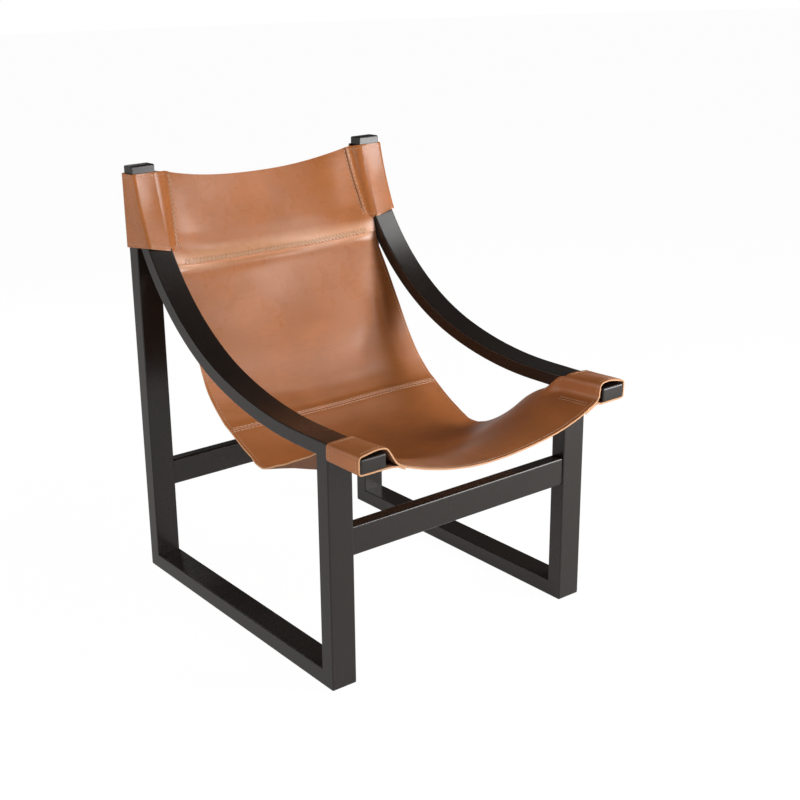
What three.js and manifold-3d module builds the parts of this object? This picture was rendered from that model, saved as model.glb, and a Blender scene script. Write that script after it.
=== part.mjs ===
// Leather sling lounge chair: two flat side frames, three stretchers and a hanging leather sling.
// Millimetres, +Z up, the front of the chair faces -Y, +X is to the right of someone facing it.
import * as THREE from 'three';
import { mergeVertices } from 'three/addons/utils/BufferGeometryUtils.js';
import Module from 'manifold-3d';

const wasm = await Module();
wasm.setup();

// Side frames
const chairWidth = 668;
const chairHeight = 940;
const baseDepth = 719;
const memberWidth = 57;
const legDepth = 35;
const runnerHeight = 35;
const edgeRadius = 2.6;
const cornerRun = 4.5;

// Curved rails
const railThickness = 28.6;
const railTop = 508.6;
const stubLength = 100;
const levelBehindLeg = 64;
const frontBendRadius = 835;
const frontBendAngle = THREE.MathUtils.degToRad(17);
const railMeetDrop = 66;
const frontBendSteps = 5;
const backBendSteps = 14;

// Stretchers
const stretcherHeight = 60;
const stretcherThickness = 28.6;
const frontStretcherHeight = 299.7;
const lowerStretcherHeight = 227;
const upperStretcherBelowSleeve = 60;
const upperStretcherBehindRail = 46;

// Fixings
const boltHeadDiameter = 17;
const boltHeadThickness = 2.6;
const boltHeadEase = 0.8;
const boltSocket = 5;
const boltSocketDepth = 1.8;
const boltDiameter = 6;
const boltBeyondNut = 9;
const headRecess = 3;
const nutDiameter = 10;
const nutLength = 16;
const nutFromEnd = 34;
const nutSlotWidth = 1.2;
const nutSlotDepth = 1;
const dowelDiameter = 8;
const dowelLength = 30;
const dowelChamfer = 1;
const dowelInThinWood = 12;
const stretcherDowelSpacing = 38;
const memberDowelSpacing = 28;

// Clearances
const glueLine = 0.2;
const roundClearance = 0.3;
const overrun = 20;
const weld = 1e-4;

// Sides of the round pieces and of their holes
const headSides = 18;
const boreSides = 14;
const holeSides = 12;
const pegSides = 8;

// Leather
const leather = 3.2;
const leatherGap = 0.3;
const slingSideGap = 2.9;
const postShow = 17;
const sleeveHeight = 157;
const sleeveFold = 3.8;
const sleeveLap = 12;
const sleeveSeamTopInset = 45;
const sleeveSeamBottomInset = 27;
const bandSetBackTop = 8;
const bandSetBackBottom = 1;
const bandSetBackAtLap = 4.5;
const bandBelowSleeve = 41;
const bandLap = 24;
const bandStepRun = 10;
const seatLap = 14;
const seatStepRun = 12;
const tabLap = 47;
const tabFootInset = 24;
const tabFootRise = 12;
const tabShoulderInset = 8;
const tabCrown = 5.5;
const tabCrownInset = 15;
const tabFold = 4.6;
const tabFoldSoft = 11;
const tabRiseRun = 58;
const tabBackGap = 2;
const tabFrontGap = 2;

// Places worked out from the sizes above
const outerHalf = chairWidth / 2;
const innerHalf = outerHalf - memberWidth;
const frameMid = outerHalf - memberWidth / 2;
const legFront = baseDepth - legDepth;
const rearLegMid = baseDepth - legDepth / 2;
const railBottom = railTop - railThickness;
const railLevelRun = legDepth + levelBehindLeg;
const railMeetHeight = chairHeight - railMeetDrop;
const backBend = findBackBend();
const sleeveTop = chairHeight - postShow;
const sleeveBottom = sleeveTop - sleeveHeight;
const stretcherFront = rearLegMid - stretcherThickness / 2;
const upperStretcherTop = Math.min(
  sleeveBottom - upperStretcherBelowSleeve,
  railHeightAt(stretcherFront - upperStretcherBehindRail, railThickness),
);
const upperStretcherHeight = upperStretcherTop - stretcherHeight / 2;
const bandBottom = sleeveBottom - bandBelowSleeve;
const slingHalf = innerHalf - slingSideGap;
const leatherSeat = leatherGap + leather / 2;
const leatherStep = leather + leatherGap;

// Share of the half width at which the sling's sag is felt: 0 in the middle, 1 at its edges
const sagPower = 2.3;

// How the back hangs between the place where it leaves the rails and the seat seam. Each row is one
// line across it: how far it has come in depth and in height, and its sag as a share of that height.
const backHangShares = [
  [0.31, 0.41, 0],
  [0.575, 0.742, 0.007],
  [0.85, 0.935, 0.01],
];

// How the seat hangs below the rails, from the seat seam forward. Each row is one line across it: its
// depth as a share of the base depth, and the height of its edge and of its middle as shares of the
// rail's height.
const seatHangShares = [
  [0.581, 0.787, 0.78],
  [0.52, 0.74, 0.71],
  [0.46, 0.705, 0.645],
  [0.4, 0.692, 0.611],
  [0.33, 0.718, 0.608],
  [0.265, 0.765, 0.632],
  [0.2, 0.822, 0.676],
  [0.14, 0.888, 0.721],
  [0.07, 0.936, 0.772],
];

// The same for the lines over the front stubs, with the depth as a share of the stub's length
const frontLipShares = [
  [0, 0.957, 0.816],
  [0.5, 0.961, 0.84],
  [1, 0.965, 0.85],
];

// How far a sleeve's front bows back in the middle of its height, as a share of its slant
const sleeveBowShare = 0.1;

// How far the head band's middle lies behind and below its edges, as shares of the sleeve's height
const bandSagShares = [
  [0.14, 0.18],
  [0.13, 0.16],
  [0.11, 0.1],
  [0.06, 0.04],
];

const lacquer = new THREE.MeshStandardMaterial({ color: 0x2a2523, roughness: 0.38, metalness: 0 });
const tanLeather = new THREE.MeshStandardMaterial({ color: 0xb07046, roughness: 0.5, metalness: 0 });
const blackSteel = new THREE.MeshStandardMaterial({ color: 0x2b2b2d, roughness: 0.45, metalness: 1 });
const zincSteel = new THREE.MeshStandardMaterial({ color: 0xb9bcc0, roughness: 0.35, metalness: 1 });
const beech = new THREE.MeshStandardMaterial({ color: 0xd6b384, roughness: 0.7, metalness: 0 });

// The arc that carries the rail's front edge from the end of its first bend to the rear leg
function findBackBend() {
  const centreHeight = railTop + frontBendRadius - railThickness / 2;
  const edgeRadiusFront = frontBendRadius - railThickness / 2;
  const startDepth = railLevelRun + edgeRadiusFront * Math.sin(frontBendAngle);
  const startHeight = centreHeight - edgeRadiusFront * Math.cos(frontBendAngle);
  const chord = new THREE.Vector2(legFront - startDepth, railMeetHeight - startHeight);
  const turn = chord.angle() - frontBendAngle;
  const radius = chord.length() / (2 * Math.sin(turn));
  return {
    radius,
    depth: startDepth - radius * Math.sin(frontBendAngle),
    height: startHeight + radius * Math.cos(frontBendAngle),
    endAngle: frontBendAngle + 2 * turn,
  };
}

// Depth of the rail's front or back edge at a height on its second bend
function railDepthAt(height, fromFront) {
  const radius = backBend.radius + fromFront;
  const below = backBend.height - height;
  return backBend.depth + Math.sqrt(radius * radius - below * below);
}

// Height of the rail's front or back edge at a depth on its second bend
function railHeightAt(depth, fromFront) {
  const radius = backBend.radius + fromFront;
  const behind = depth - backBend.depth;
  return backBend.height - Math.sqrt(radius * radius - behind * behind);
}

// Depth of a sleeve's front, which spans the hollow between the rail and the rear leg with a slight bow
function sleeveDepthAt(height) {
  const down = (sleeveTop - height) / sleeveHeight;
  const top = legFront - leatherSeat;
  const bottom = railDepthAt(sleeveBottom, -leatherSeat);
  const bow = 4 * sleeveBowShare * (top - bottom) * down * (1 - down);
  return Math.min(THREE.MathUtils.lerp(top, bottom, down) + bow, railDepthAt(height, -leatherSeat));
}

function arcPoints(depth, height, radius, from, to, steps) {
  const points = [];
  for (let i = 0; i <= steps; i += 1) {
    const angle = THREE.MathUtils.lerp(from, to, i / steps);
    points.push(new THREE.Vector2(depth + radius * Math.sin(angle), height - radius * Math.cos(angle)));
  }
  return points;
}

// Both bends of a rail edge, from the rear leg forward; fromFront is how far below the front edge it is
function railEdge(fromFront) {
  const radius = backBend.radius + fromFront;
  const end = Math.asin((legFront - backBend.depth) / radius);
  const back = arcPoints(backBend.depth, backBend.height, radius, end, frontBendAngle, backBendSteps);
  const centreHeight = railTop + frontBendRadius - railThickness / 2;
  const frontRadius = frontBendRadius - railThickness / 2 + fromFront;
  const front = arcPoints(railLevelRun, centreHeight, frontRadius, frontBendAngle, 0, frontBendSteps);
  return back.concat(front.slice(1));
}

// A corner of an outline, rounded over the corner run on both its sides
function easedCorner(before, corner, after) {
  const start = corner.clone().add(before.clone().sub(corner).setLength(cornerRun));
  const end = corner.clone().add(after.clone().sub(corner).setLength(cornerRun));
  return new THREE.QuadraticBezierCurve(start, corner, end).getPoints(3);
}

// Outside of a side frame, seen along X, with depth and height as its two axes
function frameOutline() {
  const at = (depth, height) => new THREE.Vector2(depth, height);
  const floorFront = at(0, 0);
  const floorBack = at(baseDepth, 0);
  const topBack = at(baseDepth, chairHeight);
  const topFront = at(legFront, chairHeight);
  const stubTop = at(-stubLength, railTop);
  const stubBottom = at(-stubLength, railBottom);
  const underStub = at(0, railBottom);
  const topEdge = railEdge(0);
  return [
    ...easedCorner(underStub, floorFront, floorBack),
    ...easedCorner(floorFront, floorBack, topBack),
    ...easedCorner(floorBack, topBack, topFront),
    ...easedCorner(topBack, topFront, topEdge[0]),
    ...topEdge,
    ...easedCorner(topEdge[topEdge.length - 1], stubTop, stubBottom),
    ...easedCorner(stubTop, stubBottom, underStub),
    underStub,
  ];
}

// The opening inside a side frame; its narrow tip lies where the rail runs into the rear leg
function frameOpening() {
  return [
    new THREE.Vector2(legDepth, runnerHeight),
    new THREE.Vector2(legFront, runnerHeight),
    ...railEdge(railThickness),
    new THREE.Vector2(legDepth, railBottom),
  ];
}

function toSolid(geometry) {
  const bare = geometry.clone();
  bare.deleteAttribute('normal');
  bare.deleteAttribute('uv');
  const merged = mergeVertices(bare, weld);
  const vertProperties = new Float32Array(merged.attributes.position.array);
  const triVerts = new Uint32Array(merged.index.array);
  return new wasm.Manifold(new wasm.Mesh({ numProp: 3, vertProperties, triVerts }));
}

function toGeometry(solid) {
  const mesh = solid.getMesh();
  const geometry = new THREE.BufferGeometry();
  geometry.setAttribute('position', new THREE.Float32BufferAttribute(mesh.vertProperties, 3));
  geometry.setIndex(new THREE.Uint32BufferAttribute(mesh.triVerts, 1));
  geometry.computeVertexNormals();
  return geometry;
}

function boxBetween(low, high) {
  const size = high.clone().sub(low);
  const box = new THREE.BoxGeometry(size.x, size.y, size.z);
  const middle = low.clone().add(high).multiplyScalar(1 / 2);
  box.translate(middle.x, middle.y, middle.z);
  return toSolid(box);
}

// A cylinder between two points
function rodBetween(start, end, diameter, sides) {
  const along = end.clone().sub(start);
  const rod = new THREE.CylinderGeometry(diameter / 2, diameter / 2, along.length(), sides);
  const upright = new THREE.Vector3(0, 1, 0);
  rod.applyQuaternion(new THREE.Quaternion().setFromUnitVectors(upright, along.clone().normalize()));
  rod.translate(...start.clone().add(end).multiplyScalar(1 / 2).toArray());
  return toSolid(rod);
}

// The side frame as it leaves the router: one flush outline with its long edges rounded
function frameBlank(side) {
  const outline = new THREE.Shape(frameOutline());
  outline.holes.push(new THREE.Path(frameOpening()));
  const blank = new THREE.ExtrudeGeometry(outline, {
    depth: memberWidth - 2 * edgeRadius,
    bevelEnabled: true,
    bevelThickness: edgeRadius,
    bevelSize: edgeRadius,
    bevelOffset: -edgeRadius,
    bevelSegments: 2,
  });
  blank.translate(0, 0, edgeRadius - memberWidth / 2);
  const turn = new THREE.Matrix4().makeBasis(
    new THREE.Vector3(0, 1, 0),
    new THREE.Vector3(0, 0, 1),
    new THREE.Vector3(1, 0, 0),
  );
  blank.applyMatrix4(turn);
  blank.translate(side * frameMid, 0, 0);
  return toSolid(blank);
}

// The part of the blank between two depths and two heights
function memberOf(blank, side, depths, heights) {
  const low = new THREE.Vector3(side * frameMid - memberWidth, depths[0], heights[0]);
  const high = new THREE.Vector3(side * frameMid + memberWidth, depths[1], heights[1]);
  return blank.intersect(boxBetween(low, high));
}

// A dowel across a joint: where it crosses the joint face, the way it points, and how deep it goes
function dowelAt(name, point, way, depthBehind) {
  const start = point.clone().addScaledVector(way, -depthBehind);
  const end = start.clone().addScaledVector(way, dowelLength);
  return { name, start, end, way };
}

function dowelHole(dowel) {
  const extra = dowel.way.clone().multiplyScalar(roundClearance);
  const start = dowel.start.clone().sub(extra);
  const end = dowel.end.clone().add(extra);
  return rodBetween(start, end, dowelDiameter + 2 * roundClearance, holeSides);
}

function dowelGeometry(dowel) {
  const radius = dowelDiameter / 2;
  const half = dowelLength / 2;
  const profile = [
    new THREE.Vector2(0, -half),
    new THREE.Vector2(radius - dowelChamfer, -half),
    new THREE.Vector2(radius, dowelChamfer - half),
    new THREE.Vector2(radius, half - dowelChamfer),
    new THREE.Vector2(radius - dowelChamfer, half),
    new THREE.Vector2(0, half),
  ];
  const geometry = new THREE.LatheGeometry(profile, pegSides);
  const upright = new THREE.Vector3(0, 1, 0);
  geometry.applyQuaternion(new THREE.Quaternion().setFromUnitVectors(upright, dowel.way));
  geometry.translate(...dowel.start.clone().add(dowel.end).multiplyScalar(1 / 2).toArray());
  return geometry;
}

// The dowels of one side frame, with the two members that each joins
function frameDowels(side, sideName) {
  const dowels = [];
  const back = new THREE.Vector3(0, 1, 0);
  const up = new THREE.Vector3(0, 0, 1);
  const half = dowelLength / 2;
  const scarfLow = railEdge(railThickness)[0].y;
  const scarfHeight = scarfLow + dowelDiameter * 3 / 2 + roundClearance;
  for (const [which, sign] of [['inner', -1], ['outer', 1]]) {
    const x = side * (frameMid + sign * memberDowelSpacing / 2);
    const runner = runnerHeight / 2;
    const add = (joint, members, point, way, depth) => {
      const dowel = dowelAt(`${sideName}_${joint}_${which}_dowel`, point, way, depth);
      dowels.push({ ...dowel, members });
    };
    add('front_runner', ['front_leg', 'floor_runner'], new THREE.Vector3(x, legDepth, runner), back, half);
    add('rear_runner', ['floor_runner', 'rear_leg'], new THREE.Vector3(x, legFront, runner), back, half);
    const railFoot = new THREE.Vector3(x, legDepth / 2, railBottom);
    add('rail_front', ['front_leg', 'curved_rail'], railFoot, up, dowelLength - dowelInThinWood);
    const scarf = new THREE.Vector3(x, legFront, scarfHeight);
    add('rail_rear', ['curved_rail', 'rear_leg'], scarf, back, dowelInThinWood);
  }
  return dowels;
}

// The three stretchers: each is centred in the depth of the legs that it joins
const stretchers = [
  { name: 'front_stretcher', leg: 'front_leg', depth: legDepth / 2, height: frontStretcherHeight },
  { name: 'lower_rear_stretcher', leg: 'rear_leg', depth: rearLegMid, height: lowerStretcherHeight },
  { name: 'upper_rear_stretcher', leg: 'rear_leg', depth: rearLegMid, height: upperStretcherHeight },
];

// The two dowels beside the bolt at one end of a stretcher
function stretcherDowels(stretcher, side, sideName) {
  const outward = new THREE.Vector3(side, 0, 0);
  return [['lower', -1], ['upper', 1]].map(([which, sign]) => {
    const height = stretcher.height + sign * stretcherDowelSpacing / 2;
    const point = new THREE.Vector3(side * innerHalf, stretcher.depth, height);
    return dowelAt(`${sideName}_${stretcher.name}_${which}_dowel`, point, outward, dowelLength / 2);
  });
}

function pointOnBolt(stretcher, side, fromMiddle) {
  return new THREE.Vector3(side * fromMiddle, stretcher.depth, stretcher.height);
}

const nutPlace = innerHalf - nutFromEnd;
const boltSeatPlace = outerHalf - headRecess;
const boltTip = nutPlace - nutDiameter / 2 - boltBeyondNut;

// Counterbore, clearance hole and nut bore of one connector bolt
function boltCuts(stretcher, side) {
  const seat = pointOnBolt(stretcher, side, boltSeatPlace);
  const outside = pointOnBolt(stretcher, side, outerHalf + overrun);
  const tip = pointOnBolt(stretcher, side, boltTip - roundClearance);
  const counterbore = rodBetween(seat, outside, boltHeadDiameter + 2 * roundClearance, headSides);
  const shankHole = rodBetween(tip, outside, boltDiameter + 2 * roundClearance, holeSides);
  const nutTop = pointOnBolt(stretcher, side, nutPlace);
  nutTop.z += nutLength / 2 + roundClearance;
  const nutMouth = pointOnBolt(stretcher, side, nutPlace);
  nutMouth.z -= stretcherHeight / 2 + overrun;
  const nutBore = rodBetween(nutMouth, nutTop, nutDiameter + 2 * roundClearance, boreSides);
  return { counterbore, shankHole, nutBore };
}

// A flat-headed connector bolt with a hexagon socket
function boltGeometry(stretcher, side) {
  const radius = boltHeadDiameter / 2;
  const shank = boltDiameter / 2;
  const seat = boltSeatPlace + roundClearance;
  const top = seat + boltHeadThickness;
  const profile = [
    new THREE.Vector2(0, boltTip),
    new THREE.Vector2(shank - boltHeadEase, boltTip),
    new THREE.Vector2(shank, boltTip + boltHeadEase),
    new THREE.Vector2(shank, seat),
    new THREE.Vector2(radius, seat),
    new THREE.Vector2(radius, top - boltHeadEase),
    new THREE.Vector2(radius - boltHeadEase, top),
    new THREE.Vector2(0, top),
  ];
  const bolt = new THREE.LatheGeometry(profile, headSides);
  const socketRadius = boltSocket / Math.sqrt(3);
  const socket = new THREE.CylinderGeometry(socketRadius, socketRadius, overrun, 6);
  socket.translate(0, top - boltSocketDepth + overrun / 2, 0);
  const geometry = toGeometry(toSolid(bolt).subtract(toSolid(socket)));
  const upright = new THREE.Vector3(0, 1, 0);
  const outward = new THREE.Vector3(side, 0, 0);
  geometry.applyQuaternion(new THREE.Quaternion().setFromUnitVectors(upright, outward));
  geometry.translate(0, stretcher.depth, stretcher.height);
  return geometry;
}

// The barrel nut that the bolt screws into, with a slot in its lower end to turn it by
function nutGeometry(stretcher, side) {
  const centre = pointOnBolt(stretcher, side, nutPlace);
  const low = centre.clone();
  low.z -= nutLength / 2;
  const high = centre.clone();
  high.z += nutLength / 2;
  const barrel = rodBetween(low, high, nutDiameter, boreSides);
  const inner = pointOnBolt(stretcher, side, nutPlace - overrun);
  const outer = pointOnBolt(stretcher, side, nutPlace + overrun);
  const cross = rodBetween(inner, outer, boltDiameter + 2 * roundClearance, holeSides);
  const slotLow = low.clone().add(new THREE.Vector3(-overrun, -nutSlotWidth / 2, -overrun));
  const slotHigh = low.clone().add(new THREE.Vector3(overrun, nutSlotWidth / 2, nutSlotDepth));
  return toGeometry(barrel.subtract(cross).subtract(boxBetween(slotLow, slotHigh)));
}

// A bar across the chair with rounded long edges
function stretcherBlank(stretcher) {
  const halfThick = stretcherThickness / 2;
  const halfHigh = stretcherHeight / 2;
  const corners = [
    new THREE.Vector2(-halfThick, -halfHigh),
    new THREE.Vector2(halfThick, -halfHigh),
    new THREE.Vector2(halfThick, halfHigh),
    new THREE.Vector2(-halfThick, halfHigh),
  ];
  const outline = corners.flatMap((corner, i) => {
    const before = corners[(i + corners.length - 1) % corners.length];
    const after = corners[(i + 1) % corners.length];
    return easedCorner(before, corner, after);
  });
  const length = 2 * (innerHalf - glueLine);
  const bar = new THREE.ExtrudeGeometry(new THREE.Shape(outline), { depth: length, bevelEnabled: false });
  bar.translate(0, 0, -length / 2);
  const turn = new THREE.Matrix4().makeBasis(
    new THREE.Vector3(0, 1, 0),
    new THREE.Vector3(0, 0, 1),
    new THREE.Vector3(1, 0, 0),
  );
  bar.applyMatrix4(turn);
  bar.translate(0, stretcher.depth, stretcher.height);
  return toSolid(bar);
}

function drilled(solid, holes) {
  return holes.reduce((wood, hole) => wood.subtract(hole), solid);
}

// Lines down the sling's edge and down its middle, one point of each for every row of the tables
function slingLines() {
  const edge = [];
  const middle = [];
  const add = (depth, height, sagBack, sagDown) => {
    edge.push(new THREE.Vector3(0, depth, height));
    middle.push(new THREE.Vector3(0, depth + sagBack, height - sagDown));
  };
  const bandRows = bandSagShares.length - 1;
  const bandTop = sleeveTop - leather;
  bandSagShares.forEach(([backShare, downShare], i) => {
    const height = THREE.MathUtils.lerp(bandTop, bandBottom, i / bandRows);
    const behindSleeve = THREE.MathUtils.lerp(bandSetBackTop, bandSetBackBottom, i / bandRows);
    const atLap = railDepthAt(height, railThickness / 2) + bandSetBackAtLap;
    const depth = i < bandRows ? sleeveDepthAt(height) + behindSleeve : atLap;
    add(depth, height, backShare * sleeveHeight, downShare * sleeveHeight);
  });
  const leaveHeight = bandBottom - bandLap - bandStepRun;
  const leaveDepth = railDepthAt(leaveHeight, railThickness);
  add(leaveDepth, leaveHeight, bandSetBackAtLap, bandSetBackAtLap);
  const [seamDepthShare, seamHeightShare] = seatHangShares[0];
  const forward = seamDepthShare * baseDepth - leaveDepth;
  const drop = leaveHeight - seamHeightShare * railTop;
  backHangShares.forEach(([forwardShare, dropShare, sagShare]) => {
    add(leaveDepth + forwardShare * forward, leaveHeight - dropShare * drop, 0, sagShare * drop);
  });
  seatHangShares.forEach(([depthShare, edgeShare, middleShare]) => {
    add(depthShare * baseDepth, edgeShare * railTop, 0, (edgeShare - middleShare) * railTop);
  });
  const lipRun = stubLength - tabBackGap - tabFrontGap;
  frontLipShares.forEach(([along, edgeShare, middleShare]) => {
    add(-tabBackGap - along * lipRun, edgeShare * railTop, 0, (edgeShare - middleShare) * railTop);
  });
  return {
    edge: new THREE.CatmullRomCurve3(edge, false, 'catmullrom', 1 / 2),
    middle: new THREE.CatmullRomCurve3(middle, false, 'catmullrom', 1 / 2),
    rows: edge.length - 1,
  };
}

const sling = slingLines();
const bandBottomRow = bandSagShares.length - 1;
const seamRow = bandBottomRow + 2 + backHangShares.length;
const tabBackRow = sling.rows - frontLipShares.length + 1;
const sleeveEndRow = bandBottomRow * sleeveHeight / (sleeveHeight + bandBelowSleeve);

// The sling's middle layer at a row, which may lie between two rows of the tables, and a place across
function slingPoint(row, across) {
  const edge = sling.edge.getPoint(row / sling.rows);
  const middle = sling.middle.getPoint(row / sling.rows);
  const point = middle.lerp(edge, Math.pow(Math.abs(across) / slingHalf, sagPower));
  point.x = across;
  return point;
}

// Upper side of the sling at that point, square to it
function slingNormal(row, across) {
  const nudge = 1 / 100;
  const down = slingPoint(Math.min(row + nudge, sling.rows), across);
  down.sub(slingPoint(Math.max(row - nudge, 0), across));
  const reach = slingHalf * nudge;
  const right = slingPoint(row, across + reach).sub(slingPoint(row, across - reach));
  return right.cross(down).normalize().negate();
}

function slingOffset(row, across, lift) {
  return slingPoint(row, across).addScaledVector(slingNormal(row, across), lift);
}

// The row that lies a given distance along the sling's edge from another row
function rowAway(row, distance) {
  const steps = 200;
  let from = slingPoint(row, slingHalf);
  let walked = 0;
  let at = row;
  while (walked < Math.abs(distance)) {
    at += Math.sign(distance) / steps;
    const to = slingPoint(at, slingHalf);
    walked += to.distanceTo(from);
    from = to;
  }
  return at;
}

// A closed sheet of leather round a grid of points on its middle layer; kept says which cells it has
function leatherSheet(grid, kept = () => true) {
  const rows = grid.length - 1;
  const columns = grid[0].length - 1;
  const cell = (i, j) => i >= 0 && j >= 0 && i < rows && j < columns && kept(i, j);
  const used = (i, j) => cell(i, j) || cell(i - 1, j) || cell(i, j - 1) || cell(i - 1, j - 1);
  const positions = [];
  const top = new Map();
  const bottom = new Map();
  for (let i = 0; i <= rows; i += 1) {
    for (let j = 0; j <= columns; j += 1) {
      if (!used(i, j)) continue;
      const onGrid = (a, b) => a >= 0 && b >= 0 && a <= rows && b <= columns;
      const pick = (a, b) => (onGrid(a, b) && used(a, b) ? grid[a][b] : grid[i][j]);
      const down = pick(i + 1, j).clone().sub(pick(i - 1, j));
      const across = pick(i, j + 1).clone().sub(pick(i, j - 1));
      const normal = across.cross(down).normalize().negate();
      const key = i * (columns + 1) + j;
      top.set(key, positions.length / 3);
      positions.push(...grid[i][j].clone().addScaledVector(normal, leather / 2).toArray());
      bottom.set(key, positions.length / 3);
      positions.push(...grid[i][j].clone().addScaledVector(normal, -leather / 2).toArray());
    }
  }
  const triangles = [];
  const quad = (a, b, c, d) => triangles.push(a, b, c, a, c, d);
  const keyAt = (i, j) => i * (columns + 1) + j;
  const wall = (from, to) => quad(top.get(from), bottom.get(from), bottom.get(to), top.get(to));
  for (let i = 0; i < rows; i += 1) {
    for (let j = 0; j < columns; j += 1) {
      if (!cell(i, j)) continue;
      const [a, b, c, d] = [keyAt(i, j), keyAt(i + 1, j), keyAt(i + 1, j + 1), keyAt(i, j + 1)];
      quad(top.get(a), top.get(b), top.get(c), top.get(d));
      quad(bottom.get(a), bottom.get(d), bottom.get(c), bottom.get(b));
      if (!cell(i, j - 1)) wall(a, b);
      if (!cell(i + 1, j)) wall(b, c);
      if (!cell(i, j + 1)) wall(c, d);
      if (!cell(i - 1, j)) wall(d, a);
    }
  }
  const geometry = new THREE.BufferGeometry();
  geometry.setAttribute('position', new THREE.Float32BufferAttribute(positions, 3));
  geometry.setIndex(triangles);
  geometry.computeVertexNormals();
  return geometry;
}

// Rows of the lap of the back panel over the seat panel
const seatLapRows = [-1, 0, 1].map((way) => rowAway(seamRow, way * seatLap / 2));

function spread(from, to, steps) {
  return Array.from({ length: steps + 1 }, (_, i) => THREE.MathUtils.lerp(from, to, i / steps));
}

function smoothStep(value, from, to) {
  return THREE.MathUtils.smoothstep((value - from) / (to - from), 0, 1);
}

// How far a sleeve's seam lies inside the frame's inner face, at a row of the head band
function seamInset(row) {
  return THREE.MathUtils.lerp(sleeveSeamTopInset, sleeveSeamBottomInset, Math.min(row / bandBottomRow, 1));
}

// The head band: its ends lie between the sleeves' laps, and its lower edge laps over the back panel
function headBand() {
  const stepEnd = rowAway(bandBottomRow, -bandLap);
  const stepStart = rowAway(stepEnd, -bandStepRun);
  const rows = [...spread(0, sleeveEndRow, 7), stepStart, ...spread(stepEnd, bandBottomRow, 2)];
  const grid = rows.map((row) => {
    const lift = leatherStep * smoothStep(row, stepStart, stepEnd);
    const below = smoothStep(row, sleeveEndRow, stepStart);
    const seam = THREE.MathUtils.lerp(innerHalf - seamInset(row), slingHalf - sleeveLap, below);
    const half = seam + sleeveLap;
    const line = [-half, ...spread(-seam, seam, 12), half];
    return line.map((across) => slingOffset(row, across, lift));
  });
  return leatherSheet(grid);
}

// The back panel runs from under the head band to the seat seam
function backPanel() {
  const top = rowAway(bandBottomRow, -bandLap);
  const seam = slingHalf - sleeveLap;
  const columns = [-slingHalf, ...spread(-seam, seam, 12), slingHalf];
  const down = spread(bandBottomRow, seatLapRows[0], 15);
  const rows = [...spread(top, bandBottomRow, 2), ...down.slice(1), ...seatLapRows.slice(1)];
  const grid = rows.map((row) => columns.map((across) => slingOffset(row, across, 0)));
  return leatherSheet(grid);
}

// Points of a path whose corners are folded to their own radii, as each corner's third value says
function foldedPath(corners) {
  const points = [];
  corners.forEach(([point, fold], i) => {
    if (!fold) {
      points.push(point);
      return;
    }
    const before = corners[i - 1][0].clone().sub(point).setLength(fold);
    const after = corners[i + 1][0].clone().sub(point).setLength(fold);
    const bend = new THREE.QuadraticBezierCurve3(point.clone().add(before), point, point.clone().add(after));
    points.push(...bend.getPoints(2));
  });
  return points;
}

// One sleeve, wrapped round the rail and the rear leg, with both ends stitched to the head band
function postSleeve(side) {
  const grid = spread(0, sleeveEndRow, 7).map((row) => {
    const height = THREE.MathUtils.lerp(sleeveTop, sleeveBottom, row / sleeveEndRow);
    const at = (x, depth) => new THREE.Vector3(side * x, depth, height);
    const seam = innerHalf - seamInset(row);
    const lapEnd = seam + sleeveLap + leather;
    const onBand = (x, lift) => slingOffset(row, side * x, lift);
    const front = sleeveDepthAt(height);
    const back = baseDepth + leatherSeat;
    const outside = outerHalf + leatherSeat;
    const corners = [
      [onBand(seam, leatherStep), 0],
      [onBand(lapEnd, leatherStep), 0],
      [at(innerHalf - leatherSeat, front), leather],
      [at(outside, front), sleeveFold],
      [at(outside, back), sleeveFold],
      [at(innerHalf - leatherSeat, back), sleeveFold],
      [onBand(lapEnd, -leatherStep), 0],
      [onBand(seam, -leatherStep), 0],
    ];
    const path = foldedPath(corners);
    return side > 0 ? path : path.reverse();
  });
  return leatherSheet(grid);
}

// The strip beside the tab and the tab itself, which goes over the stub, down, under and back inboard
function tabPath(row, side) {
  const flat = slingPoint(row, side * (innerHalf - tabLap));
  const at = (x, height) => new THREE.Vector3(side * x, flat.y, height);
  const foot = at(innerHalf - tabFootInset, flat.z + tabFootRise);
  const lapWay = foot.clone().sub(flat).normalize();
  const under = new THREE.Vector3(side * lapWay.z, 0, -Math.abs(lapWay.x)).multiplyScalar(leatherStep);
  const over = railTop + leatherSeat;
  const below = railBottom - leatherSeat;
  const outside = outerHalf + leatherSeat;
  const corners = [
    [flat, 0],
    [foot, tabFoldSoft],
    [at(innerHalf - tabShoulderInset, over + tabCrown), tabFoldSoft],
    [at(innerHalf + tabCrownInset, over + tabCrown), 0],
    [at(outside, over), tabFold],
    [at(outside, below), tabFold],
    [at(innerHalf - tabShoulderInset, below), leather],
    [foot.clone().add(under).addScaledVector(lapWay, -leather), 0],
    [flat.clone().add(under), 0],
  ];
  return foldedPath(corners);
}

// The seat's free edge runs up to this point of the tab's path, on the shoulder over the stub
const stripColumns = 5;

// The columns of one side of the seat panel, from its flat middle outwards, at one row
function seatSide(row, side) {
  const path = tabPath(row, side);
  const flatHalf = innerHalf - tabLap;
  const depth = path[0].y;
  const rise = 1 - smoothStep(depth, -tabBackGap, tabRiseRun);
  return path.map((point, i) => {
    if (i > stripColumns) return point;
    const across = THREE.MathUtils.lerp(flatHalf, slingHalf, i / stripColumns);
    return slingPoint(row, side * across).lerp(point, rise);
  });
}

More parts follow.
